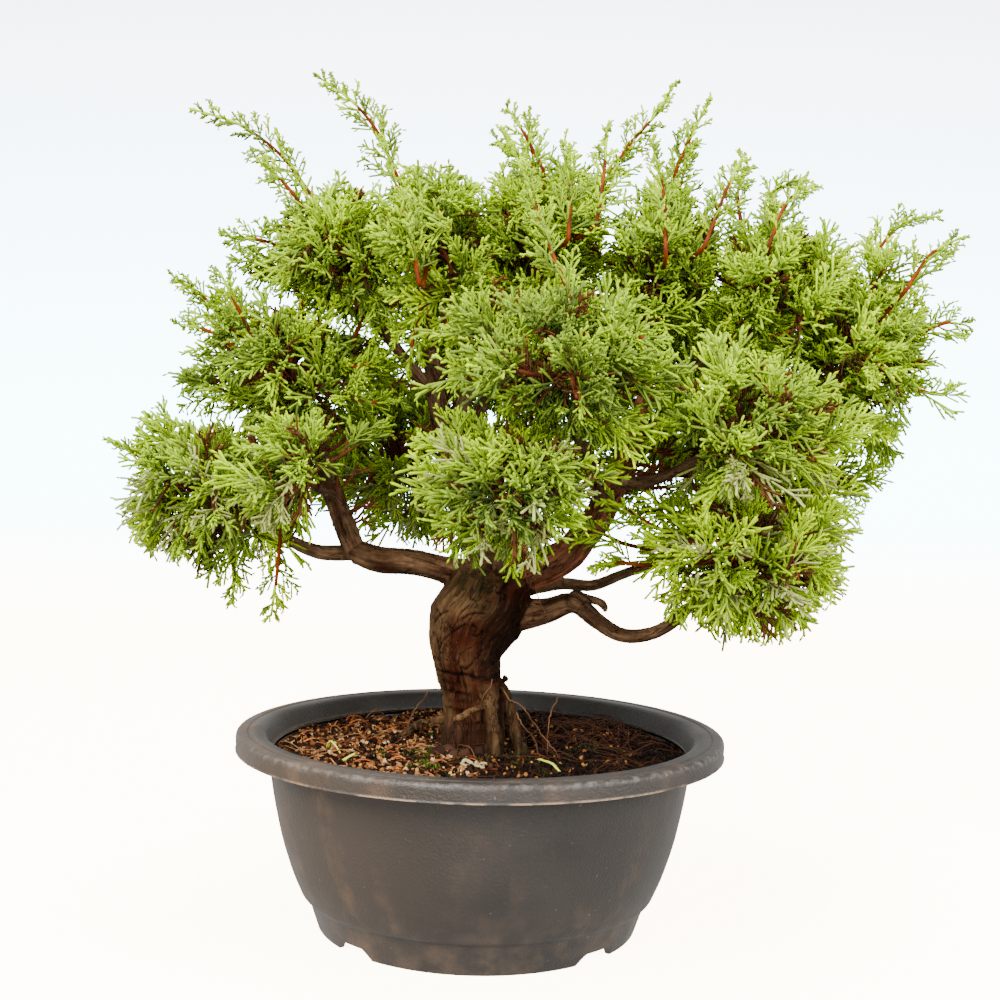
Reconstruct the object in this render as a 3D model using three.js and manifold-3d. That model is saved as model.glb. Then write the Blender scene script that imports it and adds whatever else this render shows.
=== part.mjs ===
// Itoigawa juniper trained as a bonsai, in a round black plastic training pot filled with soil.
//
// Millimetres, +Z up. +X is to the right and +Y away from whoever looks at the tree's front.
// Every size below is measured from the pot's own axis on the ground; at the end the whole tree
// is shifted sideways, so that the origin is the middle of the underside of its box.
//
// The trunk stands on the soil with a flat cut. It forks low into a left bough and two leaders,
// which carry smaller boughs. Each bough ends where it enters a mass of foliage, and each mass is
// a stem that branches by one seeded rule into twigs and sprays within its own oval space.
import * as THREE from "three";
import { mergeVertices } from "three/addons/utils/BufferGeometryUtils.js";
import Module from "manifold-3d";

const wasm = await Module();
wasm.setup();

// Clearance between neighbouring solids.
const GAP = 0.3;
const UP = new THREE.Vector3(0, 0, 1);

// Pot: a thin moulded shell with a folded rim, a floor with drain holes and a notched foot ring.
const POT = {
  rimRadius: 100,
  height: 80,
  wall: 2.5,
  rimBand: 7.2,
  rimBandDraft: 0.4,
  rimRounding: 1.4,
  rimInner: 88.6,
  rimInnerRounding: 2.5,
  rimPlate: 2.3,
  underRim: 87.2,
  footRadius: 65.2,
  footHeight: 12,
  footFlare: 4.2,
  floorUnder: 10,
  floorUnderRadius: 66.1,
  floorTop: 12.5,
  floorRadius: 66,
  segments: 32,
};
// The outside of the wall as [radius, height], from the step above the foot to under the rim.
const WALL = [
  [72.4, 14.6],
  [76.4, 23.5],
  [80.8, 37],
  [84.4, 54],
  [86.6, 69],
];
const NOTCH = { count: 4, firstAngle: Math.PI / 4, foot: 20, crown: 12, height: 4.2, depth: 20, below: 1 };
const DRAIN = { count: 4, ring: 42, radius: 5, sides: 8 };

// Soil: it rises from its edge at the wall to a flat seat under the trunk. Between the two it has
// a mound at the back right, where roots have pushed it up, and lumps, as the sum of a few waves.
const SOIL = { edge: 70.6, edgeRadius: 83.7, shoulder: 71, shoulderRadius: 62, seat: 73, seatRadius: 32 };
const SOIL_TOP = { rings: 8, segments: 48, fade: 6 };
const MOUND = { place: [44, 26], spread: 24, height: 4 };
// Each wave has a height, a length from crest to crest, a direction and a shift along it.
const LUMPS = [
  { height: 0.7, length: 31, direction: 0.4, shift: 3 },
  { height: 0.6, length: 25, direction: 1.5, shift: 9 },
  { height: 0.5, length: 21, direction: 2.6, shift: 5 },
];
// A block far wider than the trunk's foot, whose top is the level that the wood is cut to.
const GROUND = { width: 200, depth: 100 };

// Limbs in the order that they were grown, each with the points that it bends through and its
// radius at each of them. A later limb starts inside its parent and is cut clear of it.
const LIMBS = {
  trunk: {
    sides: 10,
    radii: [13.5, 12, 13, 14.8, 19, 18.4, 12],
    path: [
      [-3.5, -1, 68],
      [-3.5, -1, 84],
      [-4, 0, 96],
      [-6.5, 0, 110],
      [-3.5, 0, 125],
      [3.5, 0, 137],
      [9, 1, 147],
    ],
  },
  leader_right: {
    sides: 9,
    radii: [9.5, 8, 7, 6, 5.6, 4.6, 3.8, 3],
    path: [
      [5.5, 0, 139.5],
      [18.5, -4, 145.5],
      [32.5, -8, 153],
      [42.5, -8, 164.5],
      [49.5, -6, 176],
      [55.5, -2, 188.5],
      [61.5, 4, 205],
      [65, 10, 221.5],
    ],
  },
  leader_left: {
    sides: 9,
    radii: [9, 8, 6.6, 5.4, 4.4, 3.4],
    path: [
      [3, 4, 141.5],
      [-2.5, 12, 157.5],
      [-9.5, 18, 178],
      [-17, 16, 199],
      [-21.5, 10, 217.5],
      [-24.5, 4, 236],
    ],
  },
  bough_left: {
    sides: 8,
    radii: [6.8, 5.8, 5.4, 5.4, 5],
    path: [
      [-1, 2, 142.5],
      [-14, 0, 145],
      [-28.5, -3, 148.5],
      [-42.5, -6, 149.5],
      [-52.5, -8, 152.5],
    ],
  },
  bough_left_rise: {
    sides: 8,
    radii: [4.8, 4.6, 4, 3.2, 2.6],
    path: [
      [-53, -8, 152.5],
      [-58, -8, 166],
      [-63.5, -6, 179.5],
      [-67.5, -4, 191.5],
      [-72, -3, 203],
    ],
  },
  bough_left_reach: {
    sides: 7,
    radii: [3.4, 2.8, 2.2, 1.8],
    path: [
      [-53, -8, 152],
      [-68, -10, 152.5],
      [-81, -12, 158],
      [-90, -13, 163.5],
    ],
  },
  bough_left_inner: {
    sides: 6,
    radii: [2.4, 2, 1.7],
    path: [
      [-62, -7, 175.5],
      [-64, -20, 177.5],
      [-66, -29, 179],
    ],
  },
  bough_right_low: {
    sides: 8,
    radii: [8.5, 5.4, 4, 3.4, 3.1, 2.9, 2.7, 2.3],
    path: [
      [7, 0, 127.5],
      [25, -6, 130],
      [37, -10, 134],
      [46.5, -12, 127],
      [56, -14, 122],
      [67.5, -16, 123],
      [76, -18, 128],
      [82.5, -20, 135],
    ],
  },
  bough_right_mid: {
    sides: 6,
    radii: [3.2, 2.6, 2.3, 2.1, 1.9, 1.7],
    path: [
      [13, 6, 137],
      [32, 14, 139.5],
      [46, 20, 138.5],
      [58, 26, 142.5],
      [78, 34, 150],
      [104, 42, 164],
    ],
  },
  bough_front: {
    sides: 6,
    radii: [4, 3.2, 2.6, 2.2],
    path: [
      [6.5, -4, 143],
      [7, -22, 153],
      [9, -34, 160],
      [10.5, -43, 166],
    ],
  },
  bough_front_upper: {
    sides: 6,
    radii: [3.2, 2.8, 2.3, 1.9],
    path: [
      [47.5, -6, 174],
      [41.5, -22, 188.5],
      [35, -38, 202],
      [31, -48, 211],
    ],
  },
  bough_right: {
    sides: 6,
    radii: [2.8, 2.4, 2.1, 1.8],
    path: [
      [54, -4, 183.5],
      [64, -14, 184],
      [74.5, -24, 188.5],
      [83, -33, 194],
    ],
  },
  bough_right_far: {
    sides: 6,
    radii: [3.2, 2.8, 2.4, 1.9],
    path: [
      [60.5, 3, 203],
      [84, 8, 211.5],
      [109, 10, 219],
      [129.5, 10, 227],
    ],
  },
  bough_right_top: {
    sides: 6,
    radii: [2.8, 2.4, 2.1, 1.7],
    path: [
      [63, 7, 214],
      [79.5, 8, 227],
      [93, 6, 238],
      [101, 4, 244],
    ],
  },
  bough_top_right: {
    sides: 6,
    radii: [2.8, 2.4, 2],
    path: [
      [65, 10, 222.5],
      [67, 10, 234.5],
      [68.5, 8, 246],
    ],
  },
  bough_top_centre: {
    sides: 6,
    radii: [3, 2.6, 2.2, 1.9],
    path: [
      [-17.5, 15, 201],
      [-6, 18, 222.5],
      [6, 16, 243.5],
      [13, 14, 256],
    ],
  },
  bough_top_left: {
    sides: 6,
    radii: [3.2, 2.6, 2.1],
    path: [
      [-24.5, 4, 237],
      [-25, 0, 248],
      [-25, -4, 257],
    ],
  },
  bough_left_upper: {
    sides: 6,
    radii: [2.8, 2.4, 2.1, 1.8],
    path: [
      [-21, 10, 215.5],
      [-33, 4, 229.5],
      [-44.5, 0, 243.5],
      [-50, -2, 250],
    ],
  },
  bough_back_left: {
    sides: 6,
    radii: [2.8, 2.4, 2],
    path: [
      [-8.5, 18, 173.5],
      [-18.5, 36, 176.5],
      [-26, 50, 180],
    ],
  },
  bough_back_centre: {
    sides: 6,
    radii: [3, 2.6, 2],
    path: [
      [-15, 17, 192.5],
      [-4, 42, 212.5],
      [2, 60, 228],
    ],
  },
  bough_back_right: {
    sides: 6,
    radii: [3, 2.6, 2],
    path: [
      [50, -4, 177],
      [62.5, 30, 192],
      [74, 56, 205],
    ],
  },
};

// Surface roots that leave the trunk above the soil and stand clear of its foot: a pillar in front,
// a thinner one beside it, a long thin one that runs off to the left, and two at the back.
const ROOT_SIDES = 7;
const ROOTS = [
  { radii: [5, 4.4, 3.8, 4.4], path: [[-1, -5, 106], [3, -13, 98], [4.6, -18.5, 87], [6.5, -22.5, 72]] },
  { radii: [3, 2.6, 2.2, 2.6], path: [[4, -4, 103], [10, -9, 96.5], [13.5, -13, 86.5], [17.6, -16, 72]] },
  { radii: [4.5, 2.6, 1.9, 1.5], path: [[-8, 2, 87], [-15.5, 5, 82.5], [-24, 9, 79.5], [-36, 14, 72]] },
  { radii: [6, 4.6, 3.8, 4], path: [[1, 4, 96], [7, 9, 87], [11, 14, 80], [14, 19, 72]] },
  { radii: [5, 4.4, 4, 4], path: [[-7, 6, 94], [-11, 12, 85], [-14, 16, 78], [-16, 19, 72]] },
];

// Masses of foliage: the middle and half-widths of the oval space that each one fills, the limb
// that feeds it, and the long shoots that stand out of it, each given from its tip inwards.
const MASSES = {
  left_low: {
    limb: "bough_left_reach",
    middle: [-111, -10, 175],
    reach: [36, 49, 31],
    shoots: [[[-100, -20, 133], [-100, -18, 145], [-101, -16, 158]]],
  },
  left_inner: {
    limb: "bough_left_inner",
    middle: [-68, -42, 184],
    reach: [29, 35, 23],
    shoots: [[[-83, -30, 127], [-81, -31, 143], [-79, -35, 162]]],
  },
  left_mid: {
    limb: "bough_left_rise",
    middle: [-81, 0, 224],
    reach: [41, 53, 33],
    shoots: [[[-132, 5, 263], [-118, 4, 255], [-106, 2, 242]]],
  },
  left_upper: {
    limb: "bough_left_upper",
    middle: [-60, -2, 270],
    reach: [36, 51, 35],
    shoots: [
      [[-123, -5, 330], [-103, -5, 324], [-87, -4, 313], [-74, -3, 297]],
      [[-108, -15, 278], [-92, -12, 277], [-78, -7, 272]],
    ],
  },
  top_left: {
    limb: "bough_top_left",
    middle: [-24, -12, 276],
    reach: [32, 51, 32],
    shoots: [[[-71, -20, 341], [-57, -18, 332], [-47, -16, 321], [-37, -14, 300]]],
  },
  top_centre: {
    limb: "bough_top_centre",
    middle: [20, 12, 281],
    reach: [37, 53, 37],
    shoots: [
      [[0, -15, 319], [10, -13, 313], [17, -8, 299]],
      [[4, 2, 336], [12, 3, 325], [20, 5, 311]],
      [[75, 14, 351], [67, 13, 337], [55, 12, 322], [42, 12, 300]],
    ],
  },
  top_right: {
    limb: "bough_top_right",
    middle: [70, 8, 269],
    reach: [33, 51, 37],
    shoots: [[[88, 0, 341], [82, 1, 329], [76, 3, 315], [71, 5, 298]]],
  },
  right_top: {
    limb: "bough_right_top",
    middle: [114, 0, 260],
    reach: [36, 53, 36],
    shoots: [
      [[128, 0, 310], [116, 0, 304], [111, 1, 288]],
      [[108, 24, 320], [103, 20, 307], [104, 12, 288]],
    ],
  },
  right_far: {
    limb: "bough_right_far",
    middle: [150, 10, 240],
    reach: [33, 57, 41],
    shoots: [
      [[183, 0, 295], [172, 2, 294], [161, 5, 284], [158, 8, 268]],
      [[196, 0, 251], [188, 3, 252], [177, 6, 247]],
    ],
  },
  right_mid: {
    limb: "bough_right",
    middle: [98, -48, 205],
    reach: [41, 47, 29],
    shoots: [],
  },
  right_low: {
    limb: "bough_right_low",
    middle: [102, -24, 154],
    reach: [40, 53, 34],
    shoots: [],
  },
  front_upper: {
    limb: "bough_front_upper",
    middle: [26, -68, 224],
    reach: [41, 45, 32],
    shoots: [],
  },
  front_low: {
    limb: "bough_front",
    middle: [12, -62, 182],
    reach: [36, 43, 35],
    shoots: [],
  },
  back_left: {
    limb: "bough_back_left",
    middle: [-41, 75, 192],
    reach: [43, 51, 41],
    shoots: [[[-78, 96, 238], [-70, 92, 228], [-60, 86, 214]]],
  },
  back_centre: {
    limb: "bough_back_centre",
    middle: [4, 88, 252],
    reach: [55, 53, 53],
    shoots: [
      [[-30, 112, 316], [-24, 106, 303], [-14, 98, 284]],
      [[28, 122, 322], [24, 114, 309], [16, 104, 290]],
    ],
  },
  back_right: {
    limb: "bough_back_right",
    middle: [89, 84, 225],
    reach: [57, 55, 51],
    shoots: [[[118, 118, 286], [112, 110, 276], [104, 100, 260]]],
  },
  right_back: {
    limb: "bough_right_mid",
    middle: [128, 50, 184],
    reach: [35, 50, 37],
    shoots: [],
  },
};

// The branching rule: how many twigs leave a stem, how long and wide their sprays are, and how
// large a heart they stand out of. Shares are of the oval's reach or of a twig's length.
const RULE = {
  seed: 11,
  seedStep: 97,
  core: [0.52, 0.68],
  coreClear: 1.5,
  coreShrink: 0.92,
  stemStraight: 3,
  twigs: 6,
  twigEnd: [0.64, 0.72],
  twigRise: 2,
  twigRadius: 1.8,
  twigSprays: [0.55, 0.95],
  sideSprays: 2,
  sprayLength: 27,
  sprayLengths: [0.85, 1],
  sprayWidth: 6.4,
  sprayThickness: 3.6,
  sprayAngle: [0.6, 0.9],
  shorten: [1, 0.8, 0.62],
  outermost: 1.04,
  sunk: 1.5,
  shootRadius: [1.8, 0.9],
  shootStart: 0.1,
  shootSpacing: 20,
  shootSpraySize: 0.6,
};
const GOLDEN_ANGLE = Math.PI * (3 - Math.sqrt(5));

// A direction that no limb runs along, from which the first ring of each limb is turned.
const FIRST_ACROSS = new THREE.Vector3(0.31, 0.95, 0.12);

const point = (p) => new THREE.Vector3(...p);
const { clamp, lerp } = THREE.MathUtils;

// A repeatable stream of numbers from 0 to 1.
function seededRandom(seed) {
  let state = seed >>> 0;
  return () => {
    state = (state + 0x6d2b79f5) >>> 0;
    let t = state;
    t = Math.imul(t ^ (t >>> 15), t | 1);
    t ^= t + Math.imul(t ^ (t >>> 7), t | 61);
    return ((t ^ (t >>> 14)) >>> 0) / 4294967296;
  };
}

// Closed geometry to solid, and back.
function toSolid(geometry) {
  const bare = new THREE.BufferGeometry();
  bare.setAttribute("position", geometry.getAttribute("position"));
  if (geometry.index) bare.setIndex(geometry.index);
  const merged = mergeVertices(bare, 1e-3);
  return new wasm.Manifold(
    new wasm.Mesh({
      numProp: 3,
      vertProperties: new Float32Array(merged.attributes.position.array),
      triVerts: new Uint32Array(merged.index.array),
    }),
  );
}

function toGeometry(solid) {
  const mesh = solid.getMesh();
  const geometry = new THREE.BufferGeometry();
  geometry.setAttribute("position", new THREE.BufferAttribute(mesh.vertProperties, 3));
  geometry.setIndex(new THREE.BufferAttribute(mesh.triVerts, 1));
  geometry.computeVertexNormals();
  return geometry;
}

const largestBody = (solid) =>
  solid.decompose().reduce((best, body) => (body.volume() > best.volume() ? body : best));

// A smooth curve through points given as lists or as vectors.
function curveThrough(path) {
  const points = path.map((p) => (p.isVector3 ? p : point(p)));
  return new THREE.CatmullRomCurve3(points, false, "centripetal");
}

// A tapered limb: rings of the given radii along a smooth curve, closed at both ends. With extra
// it is that much fatter and longer, for cutting other pieces clear of it.
function limbGeometry(path, radii, sides, stepsPerSpan, extra = 0) {
  const curve = curveThrough(path);
  const spans = path.length - 1;
  const steps = spans * stepsPerSpan;
  const vertices = [];
  const faces = [];
  let across = FIRST_ACROSS;
  for (let i = 0; i <= steps; i++) {
    const t = i / steps;
    const centre = curve.getPoint(t);
    const along = curve.getTangent(t);
    if (i === 0) centre.addScaledVector(along, -extra);
    if (i === steps) centre.addScaledVector(along, extra);
    across = across.clone().addScaledVector(along, -across.dot(along)).normalize();
    const third = new THREE.Vector3().crossVectors(along, across);
    const at = Math.min(t * spans, spans - 1e-9);
    const span = Math.floor(at);
    const radius = lerp(radii[span], radii[span + 1], at - span) + extra;
    for (let k = 0; k < sides; k++) {
      const angle = (2 * Math.PI * k) / sides;
      const offset = across.clone().multiplyScalar(radius * Math.cos(angle));
      offset.addScaledVector(third, radius * Math.sin(angle));
      vertices.push(...centre.clone().add(offset).toArray());
    }
  }
  for (let i = 0; i < steps; i++) {
    for (let k = 0; k < sides; k++) {
      const a = i * sides + k;
      const b = i * sides + ((k + 1) % sides);
      faces.push(a, b, b + sides, a, b + sides, a + sides);
    }
  }
  const last = steps * sides;
  for (let k = 1; k < sides - 1; k++) {
    faces.push(0, k + 1, k, last, last + k, last + k + 1);
  }
  const geometry = new THREE.BufferGeometry();
  geometry.setAttribute("position", new THREE.Float32BufferAttribute(vertices, 3));
  geometry.setIndex(faces);
  return geometry;
}

// A spray of scale-leaved shoots as a keeled blade of six faces, widest near its middle.
function sprayGeometry(root, tip, width, thickness, roll) {
  const along = new THREE.Vector3().subVectors(tip, root).normalize();
  const side = new THREE.Vector3().crossVectors(along, UP);
  if (side.length() < 0.1) side.set(1, 0, 0);
  side.normalize().applyAxisAngle(along, roll);
  const keel = new THREE.Vector3().crossVectors(along, side);
  const middle = root.clone().lerp(tip, 0.5);
  const ring = [
    middle.clone().addScaledVector(side, width),
    middle.clone().addScaledVector(keel, thickness),
    middle.clone().addScaledVector(side, -width),
  ];
  const geometry = new THREE.BufferGeometry();
  const vertices = [root, tip, ...ring].flatMap((p) => p.toArray());
  geometry.setAttribute("position", new THREE.Float32BufferAttribute(vertices, 3));
  geometry.setIndex([0, 3, 2, 0, 4, 3, 0, 2, 4, 1, 2, 3, 1, 3, 4, 1, 4, 2]);
  return geometry;
}

// The pot's section is drawn once, from the middle of its underside round to the middle of its
// floor, and turned about the axis.
function potSolid() {
  const inner = (p) => [p[0] - POT.wall, p[1]];
  const bandFoot = POT.height - POT.rimBand;
  const plateUnder = POT.height - POT.rimPlate;
  const section = [
    [0, POT.floorUnder],
    [POT.floorUnderRadius, POT.floorUnder],
    [POT.footRadius - POT.wall, 0],
    [POT.footRadius, 0],
    [POT.footRadius + POT.footFlare, POT.footHeight],
    ...WALL,
    [POT.underRim, plateUnder],
    [POT.rimRadius - POT.wall, plateUnder],
    [POT.rimRadius - POT.wall, bandFoot],
    [POT.rimRadius - POT.rimBandDraft, bandFoot],
    [POT.rimRadius, POT.height - POT.rimRounding],
    [POT.rimRadius - POT.rimRounding, POT.height],
    [POT.rimInner, POT.height],
    [POT.rimInner - POT.rimInnerRounding, POT.height - POT.rimInnerRounding],
    ...WALL.map(inner).reverse(),
    [POT.floorRadius, POT.floorTop],
    [0, POT.floorTop],
  ];
  const outline = section.map(([r, z]) => new THREE.Vector2(r, z));
  const turned = new THREE.LatheGeometry(outline, POT.segments);
  turned.rotateX(Math.PI / 2);
  let pot = toSolid(turned);
  for (let i = 0; i < NOTCH.count; i++) {
    const angle = NOTCH.firstAngle + (i * 2 * Math.PI) / NOTCH.count;
    pot = pot.subtract(toSolid(notchGeometry(angle)));
  }
  for (let i = 0; i <= DRAIN.count; i++) {
    const ring = i < DRAIN.count ? DRAIN.ring : 0;
    const angle = (i * 2 * Math.PI) / DRAIN.count;
    const drill = new THREE.CylinderGeometry(DRAIN.radius, DRAIN.radius, 3 * POT.floorTop, DRAIN.sides);
    drill.rotateX(Math.PI / 2);
    drill.translate(ring * Math.cos(angle), ring * Math.sin(angle), POT.floorTop);
    pot = pot.subtract(toSolid(drill));
  }
  return pot;
}

// The cutter for one notch in the foot ring: a low trapezium, narrower at its top, run outwards.
function notchGeometry(angle) {
  const outline = new THREE.Shape([
    new THREE.Vector2(-NOTCH.foot / 2, -NOTCH.below),
    new THREE.Vector2(NOTCH.foot / 2, -NOTCH.below),
    new THREE.Vector2(NOTCH.crown / 2, NOTCH.height),
    new THREE.Vector2(-NOTCH.crown / 2, NOTCH.height),
  ]);
  const cutter = new THREE.ExtrudeGeometry(outline, { depth: NOTCH.depth, bevelEnabled: false });
  cutter.rotateX(Math.PI / 2);
  cutter.translate(0, NOTCH.depth / 2 - POT.footRadius, 0);
  cutter.rotateZ(angle);
  return cutter;
}

// How far the mound and the lumps raise the soil at a place. They grow from nothing at the seat
// and at the wall, over a short way.
function soilRise(x, y) {
  const radius = Math.hypot(x, y);
  const room = Math.min(radius - SOIL.seatRadius, SOIL.edgeRadius - radius) / SOIL_TOP.fade;
  const fromMound = Math.hypot(x - MOUND.place[0], y - MOUND.place[1]) / MOUND.spread;
  const mound = MOUND.height * Math.exp(-(fromMound ** 2));
  const lumps = LUMPS.map(({ height, length, direction, shift }) => {
    const along = x * Math.cos(direction) + y * Math.sin(direction) + shift;
    return height * Math.sin((2 * Math.PI * along) / length);
  });
  return clamp(room, 0, 1) * lumps.reduce((sum, lump) => sum + lump, mound);
}

// Soil fills the pot up to its dome, clear of the shell all round, whose inside is nearest to the
// axis in the middle of its flats.
function soilSolid() {
  const flat = Math.cos(Math.PI / POT.segments);
  const side = WALL.filter((_, i) => i % 2 === 0).map(([r, z]) => [(r - POT.wall) * flat - GAP, z]);
  const top = [[SOIL.edgeRadius, SOIL.edge]];
  for (let i = 1; i <= SOIL_TOP.rings; i++) {
    const radius = lerp(SOIL.edgeRadius, SOIL.seatRadius, i / SOIL_TOP.rings);
    const [inner, outer] =
      radius > SOIL.shoulderRadius
        ? [[SOIL.shoulderRadius, SOIL.shoulder], [SOIL.edgeRadius, SOIL.edge]]
        : [[SOIL.seatRadius, SOIL.seat], [SOIL.shoulderRadius, SOIL.shoulder]];
    top.push([radius, lerp(inner[1], outer[1], (radius - inner[0]) / (outer[0] - inner[0]))]);
  }
  const section = [
    [0, POT.floorTop + GAP],
    [POT.floorRadius * flat - GAP, POT.floorTop + GAP],
    ...side,
    ...top,
    [0, SOIL.seat],
  ];
  const outline = section.map(([r, z]) => new THREE.Vector2(r, z));
  const turned = new THREE.LatheGeometry(outline, SOIL_TOP.segments);
  turned.rotateX(Math.PI / 2);
  const positions = turned.getAttribute("position");
  for (let i = 0; i < positions.count; i++) {
    const p = new THREE.Vector3().fromBufferAttribute(positions, i);
    if (p.z >= SOIL.edge) positions.setZ(i, p.z + soilRise(p.x, p.y));
  }
  return toSolid(turned);
}

// A thin limb has one ring for each of its points, and a thick one has rings between them too.
function limbSolid(limb, extra = 0) {
  const steps = limb.sides > 6 ? 2 : 1;
  return toSolid(limbGeometry(limb.path, limb.radii, limb.sides, steps, extra));
}

// The trunk and its surface roots are one piece of wood, cut flat where it stands on the soil.
function trunkSolid() {
  let wood = limbSolid(LIMBS.trunk);
  for (const root of ROOTS) {
    wood = wood.add(toSolid(limbGeometry(root.path, root.radii, ROOT_SIDES, 1)));
  }
  const ground = new THREE.BoxGeometry(GROUND.width, GROUND.width, GROUND.depth);
  ground.translate(0, 0, SOIL.seat + GAP - GROUND.depth / 2);
  return wood.subtract(toSolid(ground));
}

// Solids of all limbs. Each one starts inside its parent and is cut back clear of it.
function growLimbs() {
  const grown = { trunk: trunkSolid() };
  const fattened = [limbSolid(LIMBS.trunk, GAP)];
  for (const [name, limb] of Object.entries(LIMBS)) {
    if (name === "trunk") continue;
    let wood = limbSolid(limb);
    for (const earlier of fattened) wood = wood.subtract(earlier);
    grown[name] = largestBody(wood);
    fattened.push(limbSolid(limb, GAP));
  }
  return { grown, fattened };
}

// Points all along the limbs with the radius there, to keep foliage clear of them.
function limbSamples() {
  const samples = [];
  const spacing = 2.5;
  for (const limb of Object.values(LIMBS)) {
    const curve = curveThrough(limb.path);
    const spans = limb.path.length - 1;
    const count = Math.ceil(curve.getLength() / spacing);
    for (let i = 0; i <= count; i++) {
      const at = Math.min((i / count) * spans, spans - 1e-9);
      const span = Math.floor(at);
      const radius = lerp(limb.radii[span], limb.radii[span + 1], at - span);
      samples.push({ centre: curve.getPoint(i / count), radius });
    }
  }
  return samples;
}
const SAMPLES = limbSamples();

const clearOfLimbs = (p, width) =>
  SAMPLES.every((s) => s.centre.distanceTo(p) > s.radius + width + 2 * GAP);

// How far out in its oval a point lies: 0 at the middle, 1 on the edge. The slope is how fast
// that grows there, in each direction.
function depthIn(mass, p) {
  const [x, y, z] = mass.middle;
  const [rx, ry, rz] = mass.reach;
  const depth = Math.hypot((p.x - x) / rx, (p.y - y) / ry, (p.z - z) / rz);
  const slope = new THREE.Vector3((p.x - x) / rx ** 2, (p.y - y) / ry ** 2, (p.z - z) / rz ** 2);
  return { depth, slope: slope.divideScalar(Math.max(depth, 1e-6)) };
}

// Where ovals cross, a point belongs to the mass that it lies deeper in, and a piece of the given
// half-width keeps wholly on its own side. A shoot may leave its own oval, but never enters
// another one.
function inOwnSpace(name, p, width, onShoot) {
  const own = depthIn(MASSES[name], p);
  if (!onShoot && own.depth > RULE.outermost) return false;
  if (own.depth > 1) own.slope.set(0, 0, 0);
  return Object.entries(MASSES).every(([otherName, mass]) => {
    if (otherName === name) return true;
    const other = depthIn(mass, p);
    const lead = other.depth - Math.min(own.depth, 1);
    return lead > (width + GAP) * other.slope.sub(own.slope).length();
  });
}

// Whether a spindle of the given half-width, drawn from one point to another, keeps its space.
function lineIsFree(name, from, to, width, onShoot) {
  const steps = 6;
  for (let i = 1; i <= steps; i++) {
    const p = from.clone().lerp(to, i / steps);
    const here = width * Math.sin((Math.PI * i) / steps);
    if (!inOwnSpace(name, p, here, onShoot) || !clearOfLimbs(p, here)) return false;
  }
  return true;
}

// Sprays stand alternately round a twig between two shares of its length, and the last of them
// runs on from its end. One that would leave the mass's space or touch a limb is shortened, and
// is skipped where that won't do.
function spraysAlong(name, points, [first, last], count, random, size, onShoot) {
  const curve = curveThrough(points);
  const width = RULE.sprayWidth * size;
  const solids = [];
  for (let i = 0; i <= count; i++) {
    const t = first + ((last - first) * i) / count;
    const root = curve.getPointAt(t);
    const along = curve.getTangentAt(t);
    const side = new THREE.Vector3().crossVectors(along, UP);
    if (side.length() < 0.1) side.set(1, 0, 0);
    side.normalize().applyAxisAngle(along, i * GOLDEN_ANGLE + random());
    const angle = i === count ? 0 : lerp(...RULE.sprayAngle, random());
    const heading = along.clone().multiplyScalar(Math.cos(angle));
    heading.addScaledVector(side, Math.sin(angle));
    const roll = random() * Math.PI;
    const length = RULE.sprayLength * size * lerp(...RULE.sprayLengths, random());
    for (const shorter of RULE.shorten) {
      const tip = root.clone().addScaledVector(heading, length * shorter);
      if (!lineIsFree(name, root, tip, width, onShoot)) continue;
      root.addScaledVector(heading, -RULE.sunk);
      solids.push(toSolid(sprayGeometry(root, tip, width, RULE.sprayThickness * size, roll)));
      break;
    }
  }
  return solids;
}

// The lumpy heart of a dense mass, drawn in wherever it would near a neighbour's space.
function coreSolid(name, mass, random) {
  const middle = point(mass.middle);
  const ball = mergeVertices(
    new THREE.IcosahedronGeometry(1, 1).deleteAttribute("normal").deleteAttribute("uv"),
    1e-3,
  );
  const positions = ball.getAttribute("position");
  for (let i = 0; i < positions.count; i++) {
    const direction = new THREE.Vector3().fromBufferAttribute(positions, i);
    const arm = direction.multiply(point(mass.reach)).multiplyScalar(lerp(...RULE.core, random()));
    while (!inOwnSpace(name, middle.clone().add(arm), RULE.coreClear, false)) {
      arm.multiplyScalar(RULE.coreShrink);
    }
    positions.setXYZ(i, ...middle.clone().add(arm).toArray());
  }
  return toSolid(ball);
}

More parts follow.
